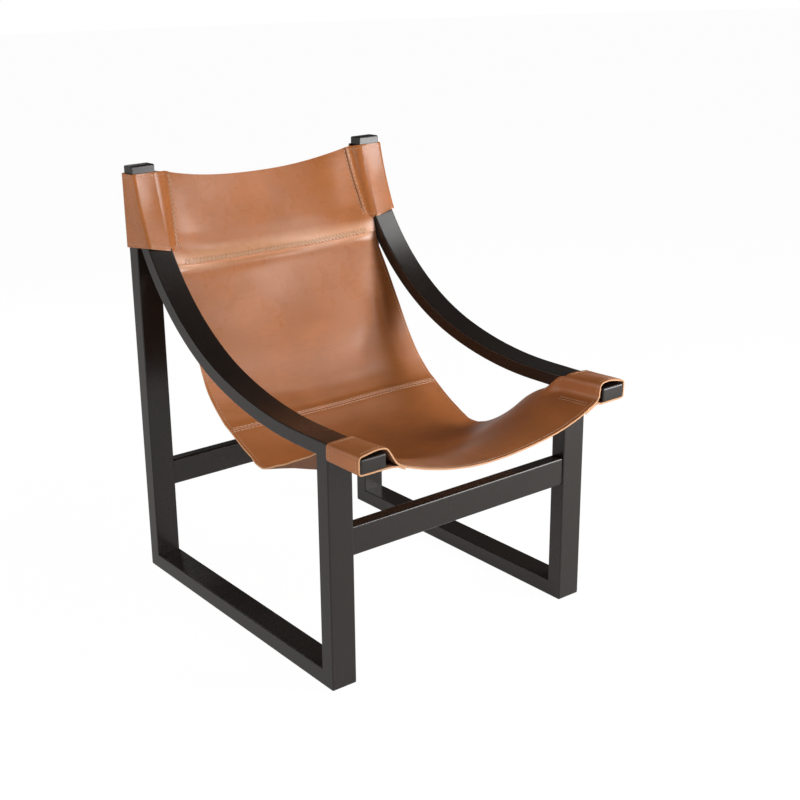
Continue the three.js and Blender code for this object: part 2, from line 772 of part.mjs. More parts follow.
// The seat panel: a hanging sheet whose front corners run out into the two tabs
function seatPanel() {
  const stepStart = rowAway(seamRow, seatLap);
  const stepEnd = rowAway(stepStart, seatStepRun);
  const flatHalf = innerHalf - tabLap;
  const tabRows = 4;
  const rows = [
    ...seatLapRows,
    stepStart,
    ...spread(stepEnd, tabBackRow, 15),
    ...spread(tabBackRow, sling.rows, tabRows).slice(1),
  ];
  const grid = rows.map((row) => {
    const drop = leatherStep * (1 - smoothStep(row, stepStart, stepEnd));
    const middle = spread(-flatHalf, flatHalf, 12).slice(1, -1).map((across) => slingPoint(row, across));
    const left = seatSide(row, -1).reverse();
    const right = seatSide(row, 1);
    const line = [...left, ...middle, ...right];
    return line.map((point) => point.addScaledVector(slingNormal(row, 0), -drop));
  });
  const outerColumns = seatSide(sling.rows, 1).length - 1 - stripColumns;
  const columns = grid[0].length - 1;
  const firstTabRow = rows.length - 1 - tabRows;
  return leatherSheet(grid, (i, j) => i >= firstTabRow || (j >= outerColumns && j < columns - outerColumns));
}

// The pieces of one side frame, drilled for its dowels and for the stretchers' bolts
function sideFrame(side, sideName) {
  const group = new THREE.Group();
  const blank = frameBlank(side);
  const whole = [-overrun, chairHeight + overrun];
  const betweenLegs = [legDepth + glueLine, legFront - glueLine];
  const members = {
    rear_leg: memberOf(blank, side, [legFront, baseDepth + overrun], whole),
    front_leg: memberOf(blank, side, [-overrun, legDepth], [-overrun, railBottom - glueLine]),
    floor_runner: memberOf(blank, side, betweenLegs, [-overrun, 2 * runnerHeight]),
    curved_rail: memberOf(blank, side, [-stubLength - overrun, legFront - glueLine], [railBottom, whole[1]]),
  };
  const dowels = frameDowels(side, sideName);
  for (const dowel of dowels) {
    for (const member of dowel.members) members[member] = members[member].subtract(dowelHole(dowel));
    group.add(namedMesh(dowel.name, dowelGeometry(dowel), beech));
  }
  for (const stretcher of stretchers) {
    const cuts = boltCuts(stretcher, side);
    const holes = stretcherDowels(stretcher, side, sideName).map(dowelHole);
    members[stretcher.leg] = drilled(members[stretcher.leg], [cuts.counterbore, cuts.shankHole, ...holes]);
  }
  for (const [name, solid] of Object.entries(members)) {
    group.add(namedMesh(`${sideName}_${name}`, toGeometry(solid), lacquer));
  }
  return group;
}

// A stretcher with the bolts, barrel nuts and dowels of both its ends
function stretcherAssembly(stretcher) {
  const group = new THREE.Group();
  let bar = stretcherBlank(stretcher);
  for (const [sideName, side] of [['left', -1], ['right', 1]]) {
    const cuts = boltCuts(stretcher, side);
    const dowels = stretcherDowels(stretcher, side, sideName);
    bar = drilled(bar, [cuts.shankHole, cuts.nutBore, ...dowels.map(dowelHole)]);
    dowels.forEach((dowel) => group.add(namedMesh(dowel.name, dowelGeometry(dowel), beech)));
    group.add(namedMesh(`${sideName}_${stretcher.name}_bolt`, boltGeometry(stretcher, side), blackSteel));
    group.add(namedMesh(`${sideName}_${stretcher.name}_nut`, nutGeometry(stretcher, side), zincSteel));
  }
  group.add(namedMesh(stretcher.name, toGeometry(bar), lacquer));
  return group;
}

function namedMesh(name, geometry, material) {
  const mesh = new THREE.Mesh(geometry, material.clone());
  mesh.name = name;
  return mesh;
}

function leatherSling() {
  const group = new THREE.Group();
  group.add(namedMesh('head_band', headBand(), tanLeather));
  group.add(namedMesh('left_post_sleeve', postSleeve(-1), tanLeather));
  group.add(namedMesh('right_post_sleeve', postSleeve(1), tanLeather));
  group.add(namedMesh('back_panel', backPanel(), tanLeather));
  group.add(namedMesh('seat_panel', seatPanel(), tanLeather));
  return group;
}

// The chair stands on the floor with the middle of its depth over the origin
function slingChair() {
  const chair = new THREE.Group();
  chair.name = 'sling_lounge_chair';
  chair.add(sideFrame(-1, 'left'), sideFrame(1, 'right'));
  stretchers.forEach((stretcher) => chair.add(stretcherAssembly(stretcher)));
  chair.add(leatherSling());
  const back = baseDepth + leatherGap + leather;
  chair.position.y = -(back - stubLength) / 2;
  return chair;
}

export default slingChair();
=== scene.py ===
"""Looks of a lounge chair: black lacquered side frames and a hanging sling of thick tan leather."""

import logging
import math
from dataclasses import dataclass, field
from enum import Enum
from functools import cached_property, lru_cache
from typing import Callable, ClassVar, Iterable, Sequence

import bmesh
import bpy
import numpy as np
from mathutils import Matrix, Vector
from mathutils.geometry import tessellate_polygon


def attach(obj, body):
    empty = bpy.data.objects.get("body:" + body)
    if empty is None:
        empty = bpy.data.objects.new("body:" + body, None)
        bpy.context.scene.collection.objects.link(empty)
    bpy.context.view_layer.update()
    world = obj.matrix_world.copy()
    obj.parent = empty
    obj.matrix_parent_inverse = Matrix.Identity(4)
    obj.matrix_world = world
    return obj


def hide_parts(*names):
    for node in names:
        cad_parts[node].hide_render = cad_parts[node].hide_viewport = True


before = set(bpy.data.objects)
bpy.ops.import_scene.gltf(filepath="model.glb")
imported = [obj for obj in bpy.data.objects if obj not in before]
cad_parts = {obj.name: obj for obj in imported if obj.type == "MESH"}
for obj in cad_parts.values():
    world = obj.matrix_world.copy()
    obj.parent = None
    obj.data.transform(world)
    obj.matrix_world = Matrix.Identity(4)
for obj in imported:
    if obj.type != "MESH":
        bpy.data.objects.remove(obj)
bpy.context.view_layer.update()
LOG = logging.getLogger("sling_chair")
MM = 0.001


@dataclass(frozen=True)
class FrameSizes:
    """Sizes of the wooden side frames and stretchers."""

    width: float = 0.668
    height: float = 0.940
    base_depth: float = 0.719
    member: float = 0.057
    leg: float = 0.035
    runner: float = 0.035
    edge: float = 0.0026
    edge_steps: int = 4
    corner: float = 0.0045
    corner_steps: int = 5
    shading_hold: float = 0.00052
    rail: float = 0.0286
    rail_top: float = 0.5086
    stub: float = 0.100
    level_behind_leg: float = 0.064
    front_radius: float = 0.835
    front_angle: float = math.radians(17)
    meet_drop: float = 0.066
    stretcher_height: float = 0.060
    stretcher_thickness: float = 0.0286
    stretcher_heights: tuple = (0.2997, 0.227, 0.676)
    bolt_recess: float = 0.003
    middle_depth: float = 0.31125

    @property
    def outer(self) -> float:
        """Half of the overall width."""
        return self.width / 2

    @property
    def inner(self) -> float:
        """Half of the clear width between the side frames."""
        return self.outer - self.member

    @property
    def leg_front(self) -> float:
        """Depth of the rear leg's front face."""
        return self.base_depth - self.leg

    @property
    def rail_bottom(self) -> float:
        """Height of the level stub's underside."""
        return self.rail_top - self.rail


@dataclass(frozen=True)
class Seam:
    """A kind of sewing: from one hole to the next, and half the thickness of its thread."""

    pitch: float
    radius: float


LONG_SEAM = Seam(0.0095, 0.00065)
EDGE_SEAM = Seam(0.0075, 0.0004)
LOOP_SEAM = Seam(0.0080, 0.00045)


@dataclass(frozen=True)
class LeatherSizes:
    """Sizes of the leather sling."""

    thickness: float = 0.0032
    gap: float = 0.0003
    post_show: float = 0.017
    sleeve_height: float = 0.157
    sleeve_bow: float = 0.10
    sleeve_lap: float = 0.012
    seam_top: float = 0.0355
    seam_bottom: float = 0.0185
    seam_shift_top: float = 0.004
    seam_shift_bottom: float = 0.0017
    band_set_back_top: float = 0.018
    band_set_back_bottom: float = 0.010
    band_set_back_lap: float = 0.0045
    band_below_sleeve: float = 0.041
    band_lap: float = 0.0215
    band_step: float = 0.010
    band_rise: float = 0.055
    tab_lap: float = 0.047
    tab_rise: float = 0.058
    tab_back_gap: float = 0.002
    edge_round: float = 0.0007
    sleeve_lap_taper: float = 0.003
    seam_stitch: float = 0.0057
    stitch_inset: float = 0.0075

    @property
    def seat(self) -> float:
        """From the wood to the middle of the leather that lies on it."""
        return self.gap + self.thickness / 2

    @property
    def step(self) -> float:
        """Between the middles of two layers that lie on each other."""
        return self.gap + self.thickness


WOOD = FrameSizes()
HIDE = LeatherSizes()
SLEEVE_TOP = WOOD.height - HIDE.post_show
SLEEVE_BOTTOM = SLEEVE_TOP - HIDE.sleeve_height
BAND_BOTTOM = SLEEVE_BOTTOM - HIDE.band_below_sleeve


def smooth_step(value: float, start: float, end: float) -> float:
    """Eases from 0 where the value is at start to 1 where it is at end."""
    share = min(max((value - start) / (end - start), 0.0), 1.0)
    return share * share * (3 - 2 * share)


def curve_through(points: np.ndarray, place: float) -> np.ndarray:
    """Reads a smooth curve that passes through every point.

    Args:
        points: The points, one per row.
        place: Where to read it: 0 at the first point, 1 at the second, and so on.

    Returns:
        The point on the curve.
    """
    count = len(points)
    place = min(max(place, 0.0), count - 1 - 1e-9)
    start = int(place)
    share = place - start
    ends = [2 * points[0] - points[1], *points, 2 * points[-1] - points[-2]]
    a, b, c, d = ends[start : start + 4]
    return (
        b
        + share * (c - a) / 2
        + share**2 * (a - 2.5 * b + 2 * c - 0.5 * d)
        + share**3 * (1.5 * (b - c) + 0.5 * (d - a))
    )


def spread(start: float, end: float, steps: int) -> np.ndarray:
    """Evenly spaced values from start to end, both included, with so many steps between."""
    return np.linspace(start, end, steps + 1)


def bend(before: np.ndarray, corner: np.ndarray, after: np.ndarray, run: float, steps: int) -> list:
    """Rounds one corner of a path.

    Args:
        before: The point before the corner.
        corner: The corner.
        after: The point after it.
        run: Length of each leg that the rounding takes up.
        steps: How many pieces the rounding has.

    Returns:
        The points of the rounding.
    """
    to_before, to_after = before - corner, after - corner
    start = corner + to_before * (run / np.linalg.norm(to_before))
    end = corner + to_after * (run / np.linalg.norm(to_after))
    return [
        (1 - t) ** 2 * start + 2 * t * (1 - t) * corner + t**2 * end for t in spread(0, 1, steps)
    ]


class RailLine:
    """The compound curve of the rails: level at the front, then two bends up to the rear leg."""

    UPPER_STEPS = 56
    FRONT_STEPS = 20

    def __init__(self, wood: FrameSizes) -> None:
        """Works out the two bends.

        Args:
            wood: Sizes of the frames.
        """
        self.wood = wood
        self.level_end = wood.leg + wood.level_behind_leg
        self.front_centre = wood.rail_top + wood.front_radius - wood.rail / 2
        front_edge = wood.front_radius - wood.rail / 2
        start = np.array(
            [
                self.level_end + front_edge * math.sin(wood.front_angle),
                self.front_centre - front_edge * math.cos(wood.front_angle),
            ]
        )
        chord = np.array([wood.leg_front, wood.height - wood.meet_drop]) - start
        turn = math.atan2(chord[1], chord[0]) - wood.front_angle
        self.radius = float(np.linalg.norm(chord)) / (2 * math.sin(turn))
        self.centre = start + self.radius * np.array(
            [-math.sin(wood.front_angle), math.cos(wood.front_angle)]
        )

    def depth_at(self, height: float, behind: float = 0.0) -> float:
        """Depth of the second bend at a height, for a line so far behind its front edge."""
        radius = self.radius + behind
        return self.centre[0] + math.sqrt(radius**2 - (self.centre[1] - height) ** 2)

    def edge(self, behind: float) -> list:
        """Points along the rail's edge, from the rear leg forward.

        Args:
            behind: Distance behind the rail's front edge, square to it.

        Returns:
            The points, as depth and height.
        """
        radius = self.radius + behind
        last = math.asin((self.wood.leg_front - self.centre[0]) / radius)
        points = [
            self.centre + radius * np.array([math.sin(a), -math.cos(a)])
            for a in spread(last, self.wood.front_angle, self.UPPER_STEPS)
        ]
        radius = self.wood.front_radius - self.wood.rail / 2 + behind
        centre = np.array([self.level_end, self.front_centre])
        points += [
            centre + radius * np.array([math.sin(a), -math.cos(a)])
            for a in spread(self.wood.front_angle, 0, self.FRONT_STEPS)[1:]
        ]
        return points


RAIL = RailLine(WOOD)


def linear(hex_colour: str) -> tuple:
    """Turns six sRGB hex digits into linear red, green and blue, with an alpha of 1."""
    values = [int(hex_colour[i : i + 2], 16) / 255 for i in (0, 2, 4)]
    return (*[v / 12.92 if v <= 0.04045 else ((v + 0.055) / 1.055) ** 2.4 for v in values], 1.0)


def per_metre(millimetres: float) -> float:
    """How often a pattern of this size repeats in a metre, which is a texture's scale."""
    return 1000.0 / millimetres


class Nodes:
    """The node tree of a material or of the world, with the one way to add a node to it."""

    def __init__(self, owner: bpy.types.ID) -> None:
        """Turns on the owner's nodes."""
        owner.use_nodes = True
        self.owner, self.tree = owner, owner.node_tree

    def put(self, node: bpy.types.Node, inputs: dict | Sequence) -> None:
        """Sets or links some inputs of a node.

        Args:
            node: The node.
            inputs: Values or sockets, by the input's name or number, or in the inputs' order.
        """
        for key, value in inputs.items() if isinstance(inputs, dict) else enumerate(inputs):
            if isinstance(value, bpy.types.NodeSocket):
                self.tree.links.new(value, node.inputs[key])
            else:
                node.inputs[key].default_value = value

    def add(
        self,
        kind: str,
        inputs: dict | Sequence,
        stops: Sequence[tuple] = (),
        **settings: object,
    ) -> Sequence[bpy.types.NodeSocket]:
        """Adds a node with its settings and links.

        A Map Range takes the value, the two values that it comes from and the two that it goes
        to. A Mix of colours takes them at inputs 6 and 7 and gives its result at output 2.

        Args:
            kind: The node's type, without the ShaderNode in front.
            inputs: Values or sockets, by the input's name or number, or in the inputs' order.
            stops: Places of a ramp, each with its linear colour.
            settings: The node's other settings.

        Returns:
            The node's outputs.
        """
        node = self.tree.nodes.new("ShaderNode" + kind)
        for key, value in settings.items():
            setattr(node, key, value)
        self.put(node, inputs)
        if stops:
            elements = node.color_ramp.elements
            while len(elements) < len(stops):
                elements.new(0.5)
            for element, (place, colour) in zip(elements, stops):
                element.position = place
                element.color = colour
        return node.outputs

    def dress(self, inputs: dict) -> bpy.types.Material:
        """Sets inputs of the shader that a new material starts with, and returns the material."""
        self.put(self.tree.nodes["Principled BSDF"], inputs)
        return self.owner


class Grain(Enum):
    """The way that the wood's grain runs, as the scale of a pattern along each axis."""

    ACROSS = (0.06, 1.0, 1.0)
    BACK = (1.0, 0.06, 1.0)
    UP = (1.0, 1.0, 0.06)


@dataclass(frozen=True)
class Lacquer:
    """Satin lacquer with a black tint, sprayed over open-grained hardwood."""

    name: str
    grain: Grain

    def build(self) -> bpy.types.Material:
        """Makes the material.

        Returns:
            The material.
        """
        # The eye gets a warm near-black film with a soft sheen, a little uneven like sprayed
        # lacquer is, and the wood's pores as faint streaks. Real pores are about 0.3 mm wide;
        # at 2.2 mm they are drawn coarser, so that they show.
        n = Nodes(bpy.data.materials.new(self.name))
        where = n.add("TexCoord", ())["Object"]
        along = n.add("Mapping", {"Vector": where, "Scale": self.grain.value})[0]
        pores, cloud, orange_peel = (
            n.add("TexNoise", {"Vector": place, "Scale": per_metre(size), "Detail": detail})[0]
            for place, size, detail in ((along, 2.2, 5), (where, 60, 2), (where, 5, 2))
        )
        stops = [(0.3, linear("1b1512")), (0.7, linear("231c18"))]
        colour = n.add("ValToRGB", (pores,), stops)[0]
        share = n.add("MapRange", (cloud, 0, 1, 0, 0.5))[0]
        colour = n.add("Mix", {0: share, 6: colour, 7: linear("2a211c")}, data_type="RGBA")[2]
        normal = n.add("Bump", {"Height": pores, "Distance": 0.05 * MM, "Strength": 0.35})[0]
        film = {"Height": orange_peel, "Distance": 0.04 * MM, "Strength": 0.35, "Normal": normal}
        shader = {
            "Base Color": colour,
            "Roughness": n.add("MapRange", (cloud, 0, 1, 0.23, 0.30))[0],
            "IOR": 1.5,
            "Normal": n.add("Bump", film)[0],
        }
        return n.dress(shader)


@dataclass(frozen=True)
class GrainLeather:
    """Grain side of vegetable-tanned saddle leather, dyed through and finished with wax.

    The pairs are heights over the floor, in metres, between which a painted highlight along the
    lap under the band comes or goes.
    """

    name: str = "saddle_leather_cognac"
    painted_highlight_comes: tuple = (0.704, 0.720)
    painted_highlight_goes: tuple = (0.735, 0.756)
    painted_highlight_share: float = 0.85
    hollow_ends: tuple = (0.42, 0.60)
    hollow_dulling: float = 0.12

    def build(self) -> bpy.types.Material:
        """Makes the material.

        Returns:
            The material.
        """
        # The eye gets a warm cognac brown, clouded where the dye took unevenly, with fine creases
        # across the sheet that are darkened with painted shade, and a waxy gloss. Real hair cells
        # are about 0.5 mm wide; at 1.3 mm they are drawn coarser, so that they show.
        n = Nodes(bpy.data.materials.new(self.name))
        where = n.add("TexCoord", ())["Object"]
        across = n.add("Mapping", {"Vector": where, "Scale": (0.10, 1, 1)})[0]
        cloud, patch, fleck, creases, wrinkles = (
            n.add(
                "TexNoise",
                {"Vector": place, "Scale": per_metre(size), "Detail": detail, "Distortion": bent},
            )[0]
            for place, size, detail, bent in (
                (where, 130, 4, 0.6),
                (where, 34, 5, 0.4),
                (where, 2.6, 3, 0.0),
                (across, 6, 4, 0.7),
                (where, 9, 6, 1.2),
            )
        )
        cells = n.add(
            "TexVoronoi",
            {"Vector": where, "Scale": per_metre(1.3), "Randomness": 1.0},
            feature="DISTANCE_TO_EDGE",
        )[0]
        stops = [(0.3, linear("ad6838")), (0.52, linear("ba713d")), (0.72, linear("c67843"))]
        colour = n.add("ValToRGB", (cloud,), stops)[0]
        # The patches and flecks are the dye's own tone; the darker colour in the creases is painted
        # shade
        for pattern, start, end, most, shade in (
            (patch, 0.35, 0.8, 0.55, "b16a3a"),
            (fleck, 0.5, 0.8, 0.25, "a26033"),
            (creases, 0.5, 0.75, 0.22, "90542d"),
        ):
            share = n.add("MapRange", (pattern, start, end, 0, most))[0]
            colour = n.add("Mix", {0: share, 6: colour, 7: linear(shade)}, data_type="RGBA")[2]
        # Painted highlight: the colour pales by height along the lap under the band, standing in
        # for the light that the lap catches
        height = n.add("SeparateXYZ", (where,))[2]
        above = n.add("MapRange", (height, *self.painted_highlight_comes, 0, 1))[0]
        below = n.add("MapRange", (height, *self.painted_highlight_goes, self.painted_highlight_share, 0))[0]
        painted_highlight_mask = n.add("Math", (above, below), operation="MULTIPLY")[0]
        colour = n.add("Mix", {0: painted_highlight_mask, 6: colour, 7: linear("e6ab84")}, data_type="RGBA")[2]
        # The hollow of the seat is duller than the back
        dull = n.add("MapRange", (height, *self.hollow_ends, self.hollow_dulling, 0))[0]
        shine = n.add("MapRange", (patch, 0.3, 0.7, 0.25, 0.31))[0]
        depth = n.add("MapRange", (cells, 0, 0.25, 0, 1))[0]
        normal = n.add("Bump", {"Height": depth, "Distance": 0.04 * MM, "Strength": 0.3})[0]
        for pattern, distance, strength in ((wrinkles, 0.25, 0.12), (creases, 0.30, 0.22)):
            relief = {"Height": pattern, "Distance": distance * MM, "Strength": strength}
            normal = n.add("Bump", {**relief, "Normal": normal})[0]
        roughness = n.add("Math", (shine, dull))[0]
        shader = {"Base Color": colour, "Roughness": roughness, "IOR": 1.5, "Normal": normal}
        return n.dress(shader)


@dataclass(frozen=True)
class Fibres:
    """A raw side of the hide: the fibres of the corium, split or cut through.

    Sizes and distances are in millimetres.
    """

    name: str
    fibre: tuple
    patch: tuple
    shades: tuple
    cloud_share: float
    relief: tuple
    roughness: float

    def build(self) -> bpy.types.Material:
        """Makes the material.

        Returns:
            The material.
        """
        n = Nodes(bpy.data.materials.new(self.name))
        where = n.add("TexCoord", ())["Object"]
        fibres, cloud = (
            n.add(
                "TexNoise",
                {"Vector": where, "Scale": per_metre(size), "Detail": detail, "Distortion": bent},
            )[0]
            for size, detail, bent in (self.fibre, self.patch)
        )
        dark, light, clouded = (linear(shade) for shade in self.shades)
        colour = n.add("ValToRGB", (fibres,), [(0.3, dark), (0.7, light)])[0]
        share = n.add("MapRange", (cloud, 0, 1, 0, self.cloud_share))[0]
        distance, strength = self.relief
        relief = {"Height": fibres, "Distance": distance * MM, "Strength": strength}
        shader = {
            "Base Color": n.add("Mix", {0: share, 6: colour, 7: clouded}, data_type="RGBA")[2],
            "Roughness": self.roughness,
            "IOR": 1.45,
            "Normal": n.add("Bump", relief)[0],
        }
        return n.dress(shader)


# Undyed flesh side: a dull, slightly fuzzy brown. Real fibre bundles are about 0.2 mm thick; at
# 1.6 mm they are drawn coarser, so that they show.
FLESH_SIDE = Fibres(
    "saddle_leather_flesh_side",
    fibre=(1.6, 6, 2.0),
    patch=(45, 4, 0.0),
    shades=("8f6147", "ad7c60", "9c6b50"),
    cloud_share=0.5,
    relief=(0.35, 0.6),
    roughness=0.9,
)
# Cut edge, lightly burnished: a pale line round every sheet. Its fibres are drawn coarser than
# the real ones too, at 0.9 mm.
CUT_EDGE = Fibres(
    "saddle_leather_cut_edge",
    fibre=(0.9, 4, 0.0),
    patch=(16, 3, 0.0),
    shades=("d9a071", "efbd93", "dda47a"),
    cloud_share=0.6,
    relief=(0.15, 0.5),
    roughness=0.6,
)


@dataclass(frozen=True)
class Thread:
    """Waxed, twisted polyester sewing thread."""

    name: str
    colour: str

    def build(self) -> bpy.types.Material:
        """Makes the material.

        Returns:
            The material.
        """
        # The eye gets small pale dashes with a soft shine, with painted shade between the plies of
        # the twist, which repeats every 0.5 mm
        n = Nodes(bpy.data.materials.new(self.name))
        where = n.add("TexCoord", ())["Object"]
        twist = n.add("TexNoise", {"Vector": where, "Scale": per_metre(0.5), "Detail": 2})[0]
        colours = {0: n.add("MapRange", (twist, 0, 1, 0, 0.4))[0]}
        colours.update({6: linear(self.colour), 7: linear("8a5430")})
        relief = {"Height": twist, "Distance": 0.1 * MM, "Strength": 0.5}
        shader = {
            "Base Color": n.add("Mix", colours, data_type="RGBA")[2],
            "Roughness": 0.55,
            "IOR": 1.5,
            "Normal": n.add("Bump", relief)[0],
        }
        return n.dress(shader)


@dataclass(frozen=True)
class Steel:
    """Turned steel of the fixings, blackened or zinc-plated."""

    name: str
    colour: str
    roughness: float
    wear: float = 0.06

    def build(self) -> bpy.types.Material:
        """Makes the material.

        Returns:
            The material.
        """
        # The eye gets a metal with a blurred shine, dulled in spots of about 3 mm by handling
        n = Nodes(bpy.data.materials.new(self.name))
        where = n.add("TexCoord", ())["Object"]
        spots = n.add("TexNoise", {"Vector": where, "Scale": per_metre(3), "Detail": 4})[0]
        colours = {0: n.add("MapRange", (spots, 0, 1, 0, 0.3))[0]}
        colours.update({6: linear(self.colour), 7: linear("0d0d0e")})
        low, high = self.roughness - self.wear, self.roughness + self.wear
        relief = {"Height": spots, "Distance": 0.02 * MM, "Strength": 0.4}
        shader = {
            "Base Color": n.add("Mix", colours, data_type="RGBA")[2],
            "Metallic": 1.0,
            "Roughness": n.add("MapRange", (spots, 0, 1, low, high))[0],
            "Normal": n.add("Bump", relief)[0],
        }
        return n.dress(shader)


@dataclass(frozen=True)
class BareBeech:
    """Unfinished, turned beech of the dowels."""

    name: str = "beech_bare"

    def build(self) -> bpy.types.Material:
        """Makes the material.

        Returns:
            The material.
        """
        # The eye gets a dull pale wood with short darker flecks, drawn at 1.5 mm wide, which is
        # about twice the real ones, so that they show
        n = Nodes(bpy.data.materials.new(self.name))
        where = n.add("TexCoord", ())["Object"]
        along = n.add("Mapping", {"Vector": where, "Scale": (1, 1, 0.2)})[0]
        fleck = n.add("TexNoise", {"Vector": along, "Scale": per_metre(1.5), "Detail": 4})[0]
        stops = [(0.3, linear("c79f70")), (0.7, linear("dcbd93"))]
        relief = {"Height": fleck, "Distance": 0.05 * MM, "Strength": 0.5}
        shader = {
            "Base Color": n.add("ValToRGB", (fleck,), stops)[0],
            "Roughness": 0.7,
            "Normal": n.add("Bump", relief)[0],
        }
        return n.dress(shader)


class Palette:
    """All the materials of the chair, made once."""

    def __init__(self) -> None:
        """Makes the materials."""
        self.wood = {g: Lacquer(f"black_lacquer_{g.name.lower()}", g).build() for g in Grain}
        self.grain = GrainLeather().build()
        self.flesh = FLESH_SIDE.build()
        self.cut = CUT_EDGE.build()
        self.thread = Thread("waxed_thread_light_tan", "f6dab8").build()
        # A near-black brown, made like the thread, that is painted shade in the awl holes and in
        # the seat seam's groove
        self.hole = Thread("awl_hole_shade", "3a1f10").build()
        self.bolt = Steel("blackened_steel", "1b1b1d", 0.38).build()
        self.nut = Steel("zinc_plated_steel", "b9bcc0", 0.32).build()
        self.beech = BareBeech().build()

    @property
    def hide(self) -> list:
        """Grain side, flesh side, cut edge and painted seam shade, in a sheet's material order."""
        return [self.grain, self.flesh, self.cut, self.hole]


def add_piece(
    name: str,
    bm: bmesh.types.BMesh,
    materials: Iterable,
    replaces: Sequence[str] = (),
    sharp: float = 40.0,
) -> bpy.types.Object:
    """Turns a mesh that was built in depth from the front leg into a finished piece.

    Args:
        name: The piece's name.
        bm: The mesh; it is freed.
        materials: Its materials, in slot order.
        replaces: The CAD nodes that it stands for.
        sharp: Angle in degrees above which an edge stays sharp.

    Returns:
        The object.
    """
    bmesh.ops.translate(bm, verts=bm.verts, vec=(0, -WOOD.middle_depth, 0))
    for face in bm.faces:
        face.smooth = True
    limit = math.radians(sharp)
    for edge in bm.edges:
        edge.smooth = len(edge.link_faces) == 2 and edge.calc_face_angle(0.0) < limit
    mesh = bpy.data.meshes.new(name)
    bm.to_mesh(mesh)
    bm.free()
    for material in materials:
        mesh.materials.append(material)
    piece = bpy.data.objects.new(name, mesh)
    bpy.context.scene.collection.objects.link(piece)
    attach(piece, "root")
    if replaces:
        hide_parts(*replaces)
    LOG.info("built %s with %d faces", name, len(mesh.polygons))
    return piece


def add_rings(bm: bmesh.types.BMesh, rings: Sequence[np.ndarray]) -> list:
    """Skins closed rings of equal length.

    Args:
        bm: The mesh to add to.
        rings: The rings' points, each ring an array of points.

    Returns:
        The rings' vertices.
    """
    made = [[bm.verts.new(p) for p in ring] for ring in rings]
    for a, b in zip(made, made[1:]):
        for i in range(len(a)):
            j = (i + 1) % len(a)
            bm.faces.new((a[i], a[j], b[j], b[i]))
    return made


